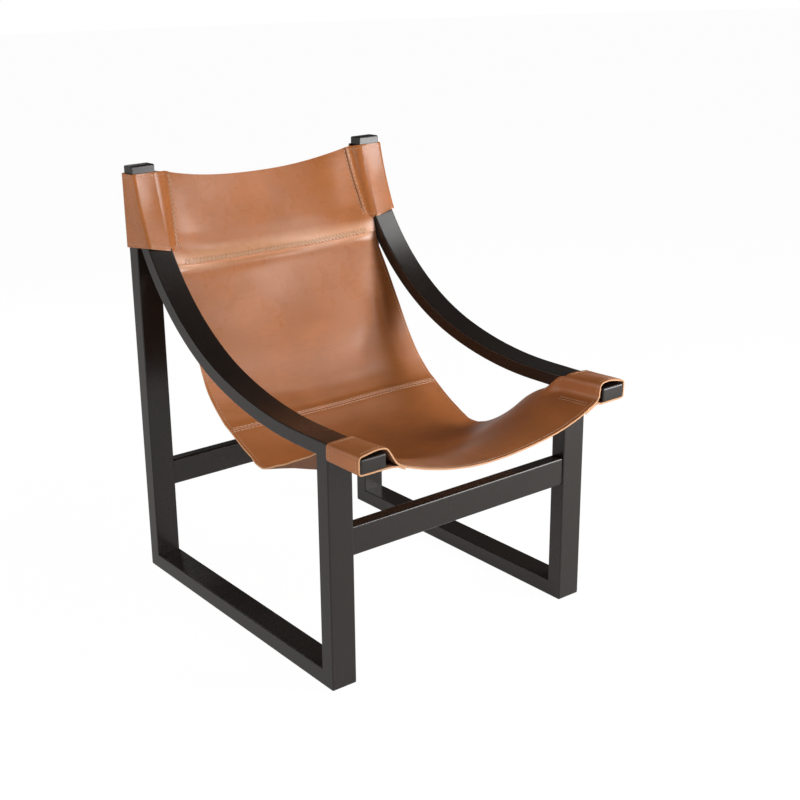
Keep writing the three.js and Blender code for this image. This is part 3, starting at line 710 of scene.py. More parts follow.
@dataclass
class SideFrame:
    """One flat side frame: two legs, a floor runner and a curved rail, rounded over as one."""

    side: int
    name: str
    palette: Palette
    gap: float = 0.00002

    def outline(self) -> np.ndarray:
        """The outside of the frame, as depth and height.

        Returns:
            The points.
        """
        w = WOOD
        top_edge = RAIL.edge(0)
        corners = [
            np.array(p)
            for p in ((0, 0), (w.base_depth, 0), (w.base_depth, w.height), (w.leg_front, w.height))
        ]
        stub = [np.array((-w.stub, w.rail_top)), np.array((-w.stub, w.rail_bottom))]
        under = np.array((0, w.rail_bottom))
        ring = [under, *corners, top_edge[0]]
        points = []
        for i in range(1, len(ring) - 1):
            points += bend(ring[i - 1], ring[i], ring[i + 1], w.corner, w.corner_steps)
        points += top_edge
        points += bend(top_edge[-1], stub[0], stub[1], w.corner, w.corner_steps)
        points += bend(stub[0], stub[1], under, w.corner, w.corner_steps)
        points.append(under)
        return np.array(points)

    def opening(self) -> np.ndarray:
        """The opening inside the frame, as depth and height.

        Returns:
            The points.
        """
        w = WOOD
        points = [
            np.array((w.leg, w.runner)),
            np.array((w.leg_front, w.runner)),
            *RAIL.edge(w.rail),
            np.array((w.leg, w.rail_bottom)),
        ]
        return np.array(points[::-1])

    def inset(self, points: np.ndarray, amount: float) -> np.ndarray:
        """Moves an outline into the wood.

        Args:
            points: The outline, with the wood on its left.
            amount: How far each side moves.

        Returns:
            The moved outline.
        """
        ahead = np.roll(points, -1, axis=0) - points
        ahead /= np.linalg.norm(ahead, axis=1)[:, None]
        normal = np.stack([-ahead[:, 1], ahead[:, 0]], axis=1)
        before = np.roll(normal, 1, axis=0)
        share = 1 + (normal * before).sum(1)
        return points + (normal + before) / share[:, None] * amount

    def blank(self) -> bmesh.types.BMesh:
        """The whole frame before it is parted into its members.

        Returns:
            The mesh.
        """
        w = WOOD
        hold = w.shading_hold
        half = w.member / 2
        profile = [(half, w.edge + hold)]
        for angle in spread(0, math.pi / 2, w.edge_steps):
            across = half - w.edge + w.edge * math.cos(angle)
            profile.append((across, w.edge * (1 - math.sin(angle))))
        profile.append((half - w.edge - hold, 0.0))
        profile += [(-x, inset) for x, inset in reversed(profile)]
        bm = bmesh.new()
        caps = []
        for line in (self.outline(), self.opening()):
            rings = []
            for x, amount in profile:
                flat = self.inset(line, amount)
                across = np.full(len(flat), self.side * (w.outer - half) + x)
                rings.append(np.column_stack([across, flat]))
            made = add_rings(bm, rings)
            caps.append((made[0], made[-1]))
        for which in (0, 1):
            loops = [cap[which] for cap in caps]
            flat = [v for loop in loops for v in loop]
            corners = [[v.co for v in loop] for loop in loops]
            for triangle in tessellate_polygon(corners):
                bm.faces.new([flat[i] for i in triangle])
        bmesh.ops.recalc_face_normals(bm, faces=bm.faces)
        return bm

    def member(self, blank: bmesh.types.BMesh, cuts: Sequence[tuple]) -> bmesh.types.BMesh:
        """The part of the blank that lies inside some planes.

        Args:
            blank: The whole frame.
            cuts: For each plane a point's depth and height, and the direction that is cut away.

        Returns:
            The member's mesh.
        """
        bm = blank.copy()
        for depth, height, way in cuts:
            bmesh.ops.bisect_plane(
                bm,
                geom=[*bm.verts, *bm.edges, *bm.faces],
                plane_co=(0, depth, height),
                plane_no=(0, *way),
                clear_outer=True,
            )
            open_edges = [e for e in bm.edges if e.is_boundary]
            bmesh.ops.holes_fill(bm, edges=open_edges)
        return bm

    def build(self) -> list:
        """Makes the frame's four pieces.

        Returns:
            The objects.
        """
        w, tiny = WOOD, self.gap
        front, rear = w.leg + tiny, w.leg_front - tiny
        low = w.rail_bottom - tiny
        members = {
            "rear_leg": (Grain.UP, [(rear, 0, (-1, 0))]),
            "front_leg": (Grain.UP, [(front, 0, (1, 0)), (0, low, (0, 1))]),
            "floor_runner": (
                Grain.BACK,
                [(front, 0, (-1, 0)), (rear, 0, (1, 0)), (0, low, (0, 1))],
            ),
            "curved_rail": (Grain.BACK, [(0, low, (0, -1)), (rear, 0, (1, 0))]),
        }
        blank = self.blank()
        pieces = []
        for part, (grain, cuts) in members.items():
            node = f"{self.name}_{part}"
            pieces.append(
                add_piece(
                    f"{node}_lacquered",
                    self.member(blank, cuts),
                    [self.palette.wood[grain]],
                    [node],
                )
            )
        blank.free()
        return pieces


@dataclass
class Stretcher:
    """A bar across the chair, with a connector bolt in each leg."""

    node: str
    depth: float
    height: float
    palette: Palette
    # The bolt's rings: radius, distance outwards from under its head, and True for a hexagon
    BOLT: ClassVar[tuple] = (
        (0.0029, -0.0200, False),
        (0.0029, 0.0000, False),
        (0.0085, 0.0000, False),
        (0.0085, 0.0017, False),
        (0.0082, 0.0022, False),
        (0.0075, 0.0025, False),
        (0.0067, 0.0026, False),
        (0.0031, 0.0026, True),
        (0.0029, 0.0024, True),
        (0.0029, 0.0008, True),
        (0.0006, 0.0005, False),
    )
    BOLT_GAP: ClassVar[float] = 0.0003
    BOLT_SIDES: ClassVar[int] = 36

    def bar(self) -> bpy.types.Object:
        """Makes the bar with rounded long edges.

        Returns:
            The object.
        """
        w = WOOD
        half = np.array([w.stretcher_thickness / 2, w.stretcher_height / 2])
        corners = [half * sign for sign in ((-1, -1), (1, -1), (1, 1), (-1, 1))]

        def toward(point: np.ndarray, other: np.ndarray) -> np.ndarray:
            """A point on the flat that holds the shading beside a rounding."""
            return point + (other - point) / np.linalg.norm(other - point) * w.shading_hold

        ring = []
        for i, corner in enumerate(corners):
            before, after = corners[i - 1], corners[(i + 1) % 4]
            eased = bend(before, corner, after, w.corner, w.corner_steps)
            ring += [toward(eased[0], before), *eased, toward(eased[-1], after)]
        flat = np.array(ring) + (self.depth, self.height)
        bm = bmesh.new()
        made = add_rings(
            bm, [np.column_stack([np.full(len(flat), x), flat]) for x in (-w.inner, w.inner)]
        )
        for loop in made:
            bm.faces.new(loop)
        bmesh.ops.recalc_face_normals(bm, faces=bm.faces)
        material = self.palette.wood[Grain.ACROSS]
        return add_piece(
            f"{self.node}_lacquered", bm, [material], [self.node]
        )

    def bolt_ring(self, radius: float, across: float, hexagon: bool) -> np.ndarray:
        """One ring of a bolt.

        Args:
            radius: Its radius, over the corners where it is a hexagon.
            across: Its place across the chair.
            hexagon: True for a hexagon.

        Returns:
            The points.
        """
        angles = np.arange(self.BOLT_SIDES) * 2 * math.pi / self.BOLT_SIDES
        reach = np.full(self.BOLT_SIDES, radius)
        if hexagon:
            inside = (angles + math.pi / 6) % (math.pi / 3) - math.pi / 6
            reach = radius * math.cos(math.pi / 6) / np.cos(inside)
        points = [np.full(len(angles), across), reach * np.cos(angles), reach * np.sin(angles)]
        return np.stack(points, axis=1) + (0, self.depth, self.height)

    def bolt(self, side: int, name: str) -> bpy.types.Object:
        """Makes one connector bolt: a low domed head with a hexagon socket.

        Args:
            side: -1 for the left leg, 1 for the right.
            name: The side's name.

        Returns:
            The object.
        """
        seat = WOOD.outer - WOOD.bolt_recess + self.BOLT_GAP
        rings = [
            self.bolt_ring(radius, side * (seat + lift), hexagon)
            for radius, lift, hexagon in self.BOLT
        ]
        bm = bmesh.new()
        made = add_rings(bm, rings)
        bm.faces.new(made[0])
        bm.faces.new(made[-1])
        bmesh.ops.recalc_face_normals(bm, faces=bm.faces)
        node = f"{name}_{self.node}_bolt"
        return add_piece(
            f"{node}_socket_head", bm, [self.palette.bolt], [node], 35
        )

    def build(self) -> None:
        """Makes the bar and both of its bolts."""
        self.bar()
        for side, name in ((-1, "left"), (1, "right")):
            self.bolt(side, name)


class Sling:
    """The middle layer of the hanging leather, as a surface over rows and places across."""

    # How the back hangs between the rails and the seat seam: shares of the way forward and down,
    # and the sag of the middle as a share of the drop.
    BACK = ((0.31, 0.41, 0.0), (0.575, 0.742, 0.007), (0.85, 0.935, 0.01))
    # Depth and height of the edges, then of the middle, from the seat seam to the front.
    SEAT = (
        (0.4177, 0.4003, 0.4217, 0.4012),
        (0.3739, 0.3764, 0.3760, 0.3675),
        (0.3307, 0.3586, 0.3307, 0.3455),
        (0.2876, 0.3520, 0.2876, 0.3340),
        (0.2373, 0.3652, 0.2373, 0.3315),
        (0.1905, 0.3891, 0.1905, 0.3415),
        (0.1438, 0.4181, 0.1438, 0.3590),
        (0.1007, 0.4500, 0.1007, 0.3780),
        (0.0503, 0.4745, 0.0503, 0.3980),
        (-0.0020, 0.4867, -0.0020, 0.4155),
        (-0.0500, 0.4880, -0.0500, 0.4245),
        (-0.0980, 0.4895, -0.0980, 0.4290),
    )
    # How much each edge hangs above the table's line, by depth: the chair's left, then its right.
    RISE = {
        -1: ((0.082, 0), (0.122, 0.006), (0.16, 0.013), (0.193, 0.016), (0.23, 0.0165),
             (0.258, 0.0155), (0.28, 0.010), (0.302, 0.003), (0.33, 0), (0.37, 0.002),
             (0.4177, 0.005), (0.46, 0.003), (0.50, 0)),
        1: ((0.05, 0), (0.08, -0.002), (0.122, -0.007), (0.16, -0.013), (0.193, -0.016),
            (0.23, -0.0165), (0.258, -0.0155), (0.28, -0.010), (0.302, -0.003), (0.33, 0),
            (0.4177, 0.0012), (0.46, 0)),
    }
    # Set-back and sag of the band's middle, from its top down.
    BAND = ((0.022, 0.0308), (0.0204, 0.0265), (0.0173, 0.0180), (0.0094, 0.0105))
    # How steeply the cross-section rises from the middle to the edges, and the edges' own rise.
    SAG_POWER = 2.3
    RISE_POWER = 2.6
    # How far out the edges' line is at the top, and how much further at the band's bottom.
    REACH = 0.250
    REACH_GAIN = 0.024
    # How far past its line an edge may go, as a share of the reach, below the band.
    OVERREACH = 1.05
    # Rows and metres on each side of a point, from which the sheet's direction is read.
    ROW_NUDGE = 0.01
    ACROSS_NUDGE = 0.002
    # Steps of each row, for measuring down the middle and for walking along the edge.
    RUN_STEPS = 60
    WALK_STEPS = 400

    def __init__(self) -> None:
        """Gathers the lines of the edge and the middle, row by row."""
        edge, middle = [], []

        def add(depth: float, height: float, back: float, down: float) -> None:
            """Adds a row: its edge, and how far behind and below that its middle lies."""
            edge.append((depth, height))
            middle.append((depth + back, height - down))

        last = len(self.BAND) - 1
        band_top = SLEEVE_TOP - HIDE.thickness
        for i, (back, down) in enumerate(self.BAND):
            height = band_top + (BAND_BOTTOM - band_top) * i / last
            set_back = HIDE.band_set_back_top + (
                HIDE.band_set_back_bottom - HIDE.band_set_back_top
            ) * i / last
            if i < last:
                depth = sleeve_depth(height) + set_back
            else:
                depth = RAIL.depth_at(height, WOOD.rail / 2) + HIDE.band_set_back_lap
            add(depth, height, back, down)
        leave_height = BAND_BOTTOM - HIDE.band_lap - HIDE.band_step
        leave_depth = RAIL.depth_at(leave_height, WOOD.rail)
        add(leave_depth, leave_height, HIDE.band_set_back_lap, HIDE.band_set_back_lap)
        forward = self.SEAT[0][0] - leave_depth
        drop = leave_height - self.SEAT[0][1]
        for forward_share, drop_share, sag in self.BACK:
            depth = leave_depth + forward_share * forward
            add(depth, leave_height - drop_share * drop, 0, sag * drop)
        for depth, height, middle_depth, middle_height in self.SEAT:
            add(depth, height, middle_depth - depth, height - middle_height)
        self.edge = np.array(edge)
        self.middle = np.array(middle)
        self.band_bottom = last
        self.leave = last + 1
        self.seam = last + 2 + len(self.BACK)
        self.front = len(edge) - 1
        around = self.edge[self.seam + 1] - self.edge[self.seam - 1]
        self.seam_scale = float(np.linalg.norm(around)) / 2
        self.tab_back = self.front - 2
        self.rise = {side: np.array(table) for side, table in self.RISE.items()}
        seam = self.seam
        self.width_rows = [0, last, self.leave, self.leave + 1, self.leave + 2, seam,
                           seam + 1, seam + 1.6, seam + 2, seam + 2.5, seam + 3, seam + 4,
                           seam + 5, seam + 6, self.front]
        upper = [0.2745, 0.2745, 0.2752, 0.2815, 0.285, 0.283]
        self.widths = {
            -1: [*upper, 0.2800, 0.2770, 0.2795, 0.2800, 0.2775, 0.2745, 0.2745, 0.2745, 0.2745],
            1: [*upper, 0.2795, 0.2775, 0.2755, 0.2725, 0.2700, 0.2735, 0.2745, 0.2745, 0.2745],
        }

    def half(self, row: float, side: int = 1) -> float:
        """Half width of the sheet at a row, on its left (-1) or its right (1)."""
        return float(np.interp(row, self.width_rows, self.widths[side]))

    @lru_cache(maxsize=None)
    def section(self, row: float) -> tuple:
        """The edge and the middle of the sheet at a row, and how far out the edge's line is."""
        reach = self.REACH + self.REACH_GAIN * smooth_step(row, 0.0, self.band_bottom)
        return curve_through(self.edge, row), curve_through(self.middle, row), reach

    def point(self, row: float, across: float) -> np.ndarray:
        """A point of the middle layer.

        Args:
            row: Place along the sling, counted in rows of the tables.
            across: Place across, from the middle.

        Returns:
            The point.
        """
        edge, middle, reach = self.section(row)
        share = min(abs(across) / reach, 1.0 if row < self.leave else self.OVERREACH)
        flat = middle + (edge - middle) * share**self.SAG_POWER
        rise = self.rise[1 if across > 0 else -1]
        rise_here = float(np.interp(flat[0], rise[:, 0], rise[:, 1]))
        height = flat[1] + rise_here * share**self.RISE_POWER
        return np.array([across, flat[0], height])

    def normal(self, row: float, across: float) -> np.ndarray:
        """Direction square to the sheet, out of its grain side.

        Args:
            row: Place along the sling.
            across: Place across.

        Returns:
            The unit vector.
        """
        before, after = max(row - self.ROW_NUDGE, 0), min(row + self.ROW_NUDGE, self.front)
        down = self.point(after, across) - self.point(before, across)
        aside = self.ACROSS_NUDGE
        right = self.point(row, across + aside) - self.point(row, across - aside)
        return np.array(Vector(down).cross(Vector(right)).normalized())

    @cached_property
    def runs(self) -> tuple:
        """Distance along the sheet's middle at evenly spaced rows.

        Returns:
            The rows and the distances from the band's top edge.
        """
        rows = spread(0, self.front, self.RUN_STEPS * self.front + 1)
        points = np.array([curve_through(self.middle, r) for r in rows])
        steps = np.linalg.norm(np.diff(points, axis=0), axis=1)
        return rows, np.concatenate([[0], np.cumsum(steps)])

    @lru_cache(maxsize=None)
    def run(self, row: float) -> float:
        """Distance of a row from the band's top edge, along the middle."""
        return float(np.interp(row, *self.runs))

    def walk(self, row: float, distance: float) -> float:
        """The row that lies a distance along the sheet's edge from another.

        Args:
            row: Where to start.
            distance: How far to go; negative goes up the back.

        Returns:
            The row.
        """
        step = math.copysign(1 / self.WALK_STEPS, distance)
        walked, before = 0.0, curve_through(self.edge, row)
        while walked < abs(distance) and 0 <= row + step <= self.front:
            row += step
            here = curve_through(self.edge, row)
            walked += float(np.linalg.norm(here - before))
            before = here
        return row


def sleeve_depth(height: float) -> float:
    """Depth of a sleeve's front at a height.

    Args:
        height: Height above the floor.

    Returns:
        The depth of its middle layer.
    """
    down = (SLEEVE_TOP - height) / HIDE.sleeve_height
    top = WOOD.leg_front - HIDE.seat
    bottom = RAIL.depth_at(SLEEVE_BOTTOM, -HIDE.seat)
    bow = 4 * HIDE.sleeve_bow * (top - bottom) * down * (1 - down)
    return min(top + (bottom - top) * down + bow, RAIL.depth_at(height, -HIDE.seat))


@dataclass(frozen=True)
class Swell:
    """A soft swell of the hanging leather, or a dip where its height is below zero.

    Places are in metres from the sling's centre line and from the band's top edge.
    """

    across: float
    run: float
    turn: float
    length: float
    width: float
    height: float

    def lift(self, across: float, run: float) -> float:
        """Height of the swell at a place.

        Args:
            across: Place across.
            run: Distance down the sling.

        Returns:
            The lift in metres.
        """
        turn = math.radians(self.turn)
        x, y = across - self.across, run - self.run
        along = x * math.cos(turn) + y * math.sin(turn)
        aside = y * math.cos(turn) - x * math.sin(turn)
        return self.height * math.exp(-((along / self.length) ** 2) - (aside / self.width) ** 2)


# Swells that put the leather's gloss where the photograph has it, from the band down to the seat.
# They were fitted together with the lamps, so they aren't a measurement of the leather.
SWELLS = (
    Swell(-0.090, 0.210, -2, 0.246, 0.026, 0.0029),
    Swell(-0.037, 0.354, -3, 0.242, 0.052, -0.0034),
    Swell(0.073, 0.448, -4, 0.228, 0.060, 0.0034),
    Swell(0.013, 0.516, 2, 0.216, 0.029, -0.0033),
    Swell(0.238, 0.297, 111, 0.155, 0.022, -0.0036),
    Swell(0.228, 0.439, 95, 0.103, 0.017, 0.0050),
    Swell(0.161, 0.457, 118, 0.077, 0.026, -0.0021),
    Swell(-0.234, 0.099, 81, 0.093, 0.031, -0.0019),
    Swell(0.198, 0.040, 88, 0.085, 0.038, 0.0034),
    Swell(-0.207, 0.148, 9, 0.140, 0.043, -0.0040),
    Swell(-0.024, 0.173, 3, 0.323, 0.023, -0.0037),
    Swell(0.015, 0.067, 3, 0.217, 0.049, 0.0044),
    Swell(-0.147, 0.492, 18, 0.114, 0.044, -0.0019),
    Swell(0.058, 0.291, -4, 0.184, 0.038, -0.0012),
    Swell(-0.060, 0.215, -7, 0.241, 0.055, 0.0043),
    Swell(0.173, 0.652, 89, 0.119, 0.036, 0.0013),
)

SLING = Sling()
SLEEVE_END_ROW = SLING.band_bottom * HIDE.sleeve_height / (
    HIDE.sleeve_height + HIDE.band_below_sleeve
)


# Slow waves of hanging leather: height, turns along x, y and z in radians a metre, and start
RIPPLES = (
    (0.0006, (23, 0, 9), 1.3),
    (0.00042, (-17, 41, 0), 0.4),
    (0.00036, (29, 0, 37), 2.2),
)


def ripple(point: np.ndarray) -> float:
    """Lift of the slow waves at a point of the sling, in metres."""
    x, y, z = point
    return sum(h * math.sin(a * x + b * y + c * z + start) for h, (a, b, c), start in RIPPLES)


def folded(
    corners: Sequence[tuple], forward: bool = True, steps: Sequence[int] = (5,)
) -> np.ndarray:
    """A path through corners, each rounded over its own run.

    Args:
        corners: Pairs of a corner and the run of its rounding.
        forward: False to return the path from its other end.
        steps: Pieces of each straight part; the last value holds for those that follow.

    Returns:
        The points.
    """
    points = [corners[0][0]]
    for k, ((before, _), (corner, run), (after, _)) in enumerate(
        zip(corners, corners[1:], corners[2:])
    ):
        eased = bend(before, corner, after, run, 6)
        straight = eased[0] - points[-1]
        count = steps[min(k, len(steps) - 1)]
        points += [points[-1] + straight * t for t in spread(0, 1, count)[1:-1]]
        points += eased
    straight = corners[-1][0] - points[-1]
    points += [points[-1] + straight * t for t in spread(0, 1, 6)[1:]]
    return np.array(points if forward else points[::-1])


def whole(row: int, column: int) -> bool:
    """Keeps every cell of a sheet's grid."""
    return True


@dataclass
class Sheet:
    """A closed sheet of leather round a grid of points on its middle layer."""

    grid: np.ndarray
    kept: Callable[[int, int], bool] = whole
    thickness: float = HIDE.thickness
    # Materials of the cut edge beside some rows instead of the cut edge's 2: 0 is the grain side's
    # dye, 3 is painted seam shade
    rims: dict = field(default_factory=dict)

    def __post_init__(self) -> None:
        """Finds the points in use and the direction out of the grain side at each of them."""
        rows, columns, _ = self.grid.shape
        cells = np.array([[self.kept(i, j) for j in range(columns - 1)] for i in range(rows - 1)])
        self.used = np.zeros((rows, columns), bool)
        for i in (0, 1):
            for j in (0, 1):
                self.used[i : i + rows - 1, j : j + columns - 1] |= cells
        padded = np.pad(self.grid, ((1, 1), (1, 1), (0, 0)))
        known = np.pad(self.used, 1)

        def near(down: int, right: int) -> np.ndarray:
            """The neighbour of every point, or the point itself where there is none."""
            window = (slice(1 + down, rows + 1 + down), slice(1 + right, columns + 1 + right))
            return np.where(known[window][..., None], padded[window], self.grid)

        square = np.cross(near(1, 0) - near(-1, 0), near(0, 1) - near(0, -1))
        self.normals = square / np.maximum(np.linalg.norm(square, axis=2, keepdims=True), 1e-12)

    def mesh(self) -> bmesh.types.BMesh:
        """Makes the sheet: grain side 0, flesh side 1, cut edge 2.

        Returns:
            The mesh.
        """
        normals = self.normals
        rows, columns, _ = self.grid.shape
        bm = bmesh.new()
        half = self.thickness / 2
        top, low = {}, {}
        for i in range(rows):
            for j in range(columns):
                if self.used[i, j]:
                    top[i, j] = bm.verts.new(self.grid[i, j] + normals[i, j] * half)
                    low[i, j] = bm.verts.new(self.grid[i, j] - normals[i, j] * half)

        def cell(i: int, j: int) -> bool:
            """True where the grid has a cell that is kept."""
            return 0 <= i < rows - 1 and 0 <= j < columns - 1 and self.kept(i, j)

        def face(corners: Sequence, index: int) -> None:
            """Adds a face with a material."""
            bm.faces.new(corners).material_index = index

        rim = []
        for i in range(rows - 1):
            for j in range(columns - 1):
                if not cell(i, j):
                    continue
                a, b, c, d = (i, j), (i + 1, j), (i + 1, j + 1), (i, j + 1)
                face([top[k] for k in (a, b, c, d)], 0)
                face([low[k] for k in (a, d, c, b)], 1)
                sides = (
                    ((i, j - 1), a, b),
                    ((i + 1, j), b, c),
                    ((i, j + 1), c, d),
                    ((i - 1, j), d, a),
                )
                for other, start, end in sides:
                    if not cell(*other):
                        index = self.rims.get(other[0], 2) if other[1] == j else 2
                        face([top[start], low[start], low[end], top[end]], index)
                        rim.append((top[start], top[end]))
                        rim.append((low[start], low[end]))
        edges = [bm.edges.get(pair) for pair in rim]
        bmesh.ops.bevel(
            bm,
            geom=edges,
            offset=HIDE.edge_round,
            segments=2,
            profile=0.5,
            affect="EDGES",
            material=-1,
            clamp_overlap=True,
        )
        bmesh.ops.recalc_face_normals(bm, faces=bm.faces)
        return bm

    def line(
        self, rows: Iterable, first: int, way: int, distance: float, down: bool = False
    ) -> list:
        """A line on the grain side at a distance inside an edge.

        Args:
            rows: The rows that it crosses, or the columns when it runs across the sheet.
            first: Column of the edge, or its row.
            way: 1 or -1, the way into the sheet from that edge.
            distance: Distance from the edge.
            down: True for a line that crosses columns.

        Returns:
            Pairs of a point and the direction out of the leather.
        """
        normals = self.normals
        surface = self.grid + normals * (self.thickness / 2)
        if down:
            surface, normals = surface.swapaxes(0, 1), normals.swapaxes(0, 1)
        made = []
        for i in rows:
            j, left = first, distance
            while True:
                run = float(np.linalg.norm(surface[i, j + way] - surface[i, j]))
                if run >= left:
                    break
                left -= run
                j += way
            share = left / run
            point = surface[i, j] * (1 - share) + surface[i, j + way] * share
            up = normals[i, j] * (1 - share) + normals[i, j + way] * share
            made.append((point, up / np.linalg.norm(up)))
        return made


@dataclass
class Stitches:
    """Rows of sewing thread, gathered into one piece of thread and one of dark discs, painted shade
    in the awl holes.
    """

    thread: list = field(default_factory=list)
    holes: list = field(default_factory=list)
    # How far the thread lies over the leather and how deep a hole is, as shares of their radius;
    # the share of the pitch left free at each end of a stitch; a hole's radius by the thread's.
    RAISED: ClassVar[float] = 0.35
    HOLE_DEPTH: ClassVar[float] = 0.3
    FREE: ClassVar[float] = 0.12
    HOLE: ClassVar[float] = 1.3
    # A direction that never points straight out of the leather, to find a hole's sides from.
    SLANT: ClassVar[tuple] = (0.37, 0.81, 0.45)

    def one(self, start: np.ndarray, end: np.ndarray, up: np.ndarray, radius: float) -> None:
        """Sews one stitch.

        Args:
            start: Where the thread comes up.
            end: Where it goes down.
            up: Out of the leather.
            radius: Half thickness of the thread.
        """
        run = end - start
        length = float(np.linalg.norm(run))
        way = run / length
        side = np.cross(way, up)
        side /= np.linalg.norm(side)
        above = np.cross(side, way)
        above *= math.copysign(1.0, float(above @ up))
        axes = np.stack([above * radius, side * radius, way * (length / 2 + radius)], axis=1)
        self.thread.append((axes, (start + end) / 2 + up * radius * self.RAISED))

    def hole(self, point: np.ndarray, up: np.ndarray, radius: float) -> None:
        """Marks one awl hole with a small dark disc, which is painted shade in the hole.

        Args:
            point: Where it is.
            up: Out of the leather.
            radius: Its radius.
        """
        side = np.cross(up, self.SLANT)
        side /= np.linalg.norm(side)
        other = np.cross(up, side)
        deep = up * radius * self.HOLE_DEPTH
        axes = np.stack([side * radius, other * radius, deep], axis=1)
        self.holes.append((axes, point))

    def row(self, line: Sequence[tuple], seam: Seam = LONG_SEAM) -> None:
        """Sews a running row along a line.

        Args:
            line: Pairs of a point on the surface and the direction out of it.
            seam: The kind of sewing.
        """
        points = np.array([p for p, _ in line])
        ups = np.array([u for _, u in line])
        steps = np.linalg.norm(np.diff(points, axis=0), axis=1)
        along = np.concatenate([[0], np.cumsum(steps)])
        count = max(int(along[-1] / seam.pitch), 1)
        marks = np.linspace(0, along[-1], count + 1)
        at = np.stack([np.interp(marks, along, points[:, k]) for k in range(3)], axis=1)
        up = np.stack([np.interp(marks, along, ups[:, k]) for k in range(3)], axis=1)
        up /= np.linalg.norm(up, axis=1)[:, None]
        for i in range(count):
            free = (at[i + 1] - at[i]) * self.FREE
            self.one(at[i] + free, at[i + 1] - free, up[i], seam.radius)
        for point, out in zip(at, up):
            self.hole(point, out, seam.radius * self.HOLE)

    def piece(self, name: str, palette: Palette) -> list:
        """Makes the thread's and the holes' objects.

        Args:
            name: Name of the sheet that they are in.
            palette: The materials.

        Returns:
            The objects.
        """
        made = []
        for kind, places, material in (
            ("stitching", self.thread, palette.thread),
            ("stitch_holes", self.holes, palette.hole),
        ):
            bm = repeated(places)
            made.append(add_piece(f"{name}_{kind}", bm, [material], sharp=180))
        return made


def repeated(places: Sequence[tuple]) -> bmesh.types.BMesh:
    """One small ball, stretched and set at many places.

    Args:
        places: For each copy its three axes and its centre.

    Returns:
        The mesh.
    """
    ball = bmesh.new()
    bmesh.ops.create_uvsphere(ball, u_segments=8, v_segments=5, radius=1.0)
    corners = np.array([v.co for v in ball.verts])
    faces = [[v.index for v in f.verts] for f in ball.faces]
    ball.free()
    axes = np.array([a for a, _ in places])
    centres = np.array([c for _, c in places])
    points = np.einsum("kij,nj->kni", axes, corners) + centres[:, None]
    turned = np.linalg.det(axes) < 0
    all_faces = []
    for k in range(len(places)):
        step = k * len(corners)
        for f in faces:
            loop = [i + step for i in f]
            all_faces.append(loop[::-1] if turned[k] else loop)
    mesh = bpy.data.meshes.new("repeated")
    mesh.from_pydata(points.reshape(-1, 3).tolist(), [], all_faces)
    bm = bmesh.new()
    bm.from_mesh(mesh)
    bpy.data.meshes.remove(mesh)
    return bm


# Relief of the seat seam: distance from it, width and height of its groove, of the soft pillow on
# each side and of the dip that the stitches draw in
SEAM_RELIEF = (
    (0.0, 0.0016, -0.0013),
    (0.0032, 0.0016, 0.0005),
    (HIDE.seam_stitch, 0.0018, -0.0005),
)


def seam_relief(row: float) -> float:
    """Lift of the leather at a row by the relief of the seat seam, in metres."""
    away = abs(row - SLING.seam) * SLING.seam_scale
    return sum(lift * math.exp(-(((away - at) / width) ** 2)) for at, width, lift in SEAM_RELIEF)


def hide_surface(row: float, across: float, lift: float = 0.0) -> np.ndarray:
    """A point of a leather layer with its slow unevenness.

    Args:
        row: Place along the sling.
        across: Place across.
        lift: Distance of the layer's middle from the sling's middle layer.

    Returns:
        The point.
    """
    point = SLING.point(row, across)
    run = SLING.run(row)
    swells = sum(swell.lift(across, run) for swell in SWELLS)
    relief = lift + ripple(point) + seam_relief(row) + swells
    return point + SLING.normal(row, across) * relief


def hanging_grid(
    rows: Iterable, half: Callable, lift: Callable | None = None, steps: int = 76
) -> np.ndarray:
    """Points of a layer from its left edge to its right one, row by row.

    Args:
        rows: The rows.
        half: Its half width by row and side.
        lift: Distance of its middle from the sling's middle layer by row, if it has one.
        steps: How many steps lie across it.

    Returns:
        The grid.
    """
    lines = []
    for row in rows:
        height = lift(row) if lift else 0.0
        across = spread(-half(row, -1), half(row, 1), steps)
        lines.append([hide_surface(row, x, height) for x in across])
    return np.array(lines)


def on_hide(row: float, across: float, lift: float = 0.0) -> tuple:
    """A point on the grain side of a layer with this lift, and the direction out of it."""
    up = SLING.normal(row, across)
    return hide_surface(row, across, lift) + up * (HIDE.thickness / 2), up


def seam_inset(row: float, side: int) -> float:
    """Distance of a sleeve's seam inside the frame's inner face.

    Args:
        row: Place along the band.
        side: -1 for the left sleeve, 1 for the right.

    Returns:
        The distance.
    """
    share = min(row / SLING.band_bottom, 1)
    inset = HIDE.seam_top + (HIDE.seam_bottom - HIDE.seam_top) * share
    shift = HIDE.seam_shift_top + (HIDE.seam_shift_bottom - HIDE.seam_shift_top) * share
    return inset - side * shift


def sleeve_lap(row: float) -> float:
    """How far the band runs into a sleeve at a row, narrower towards the bottom."""
    return HIDE.sleeve_lap - HIDE.sleeve_lap_taper * min(row / SLING.band_bottom, 1)


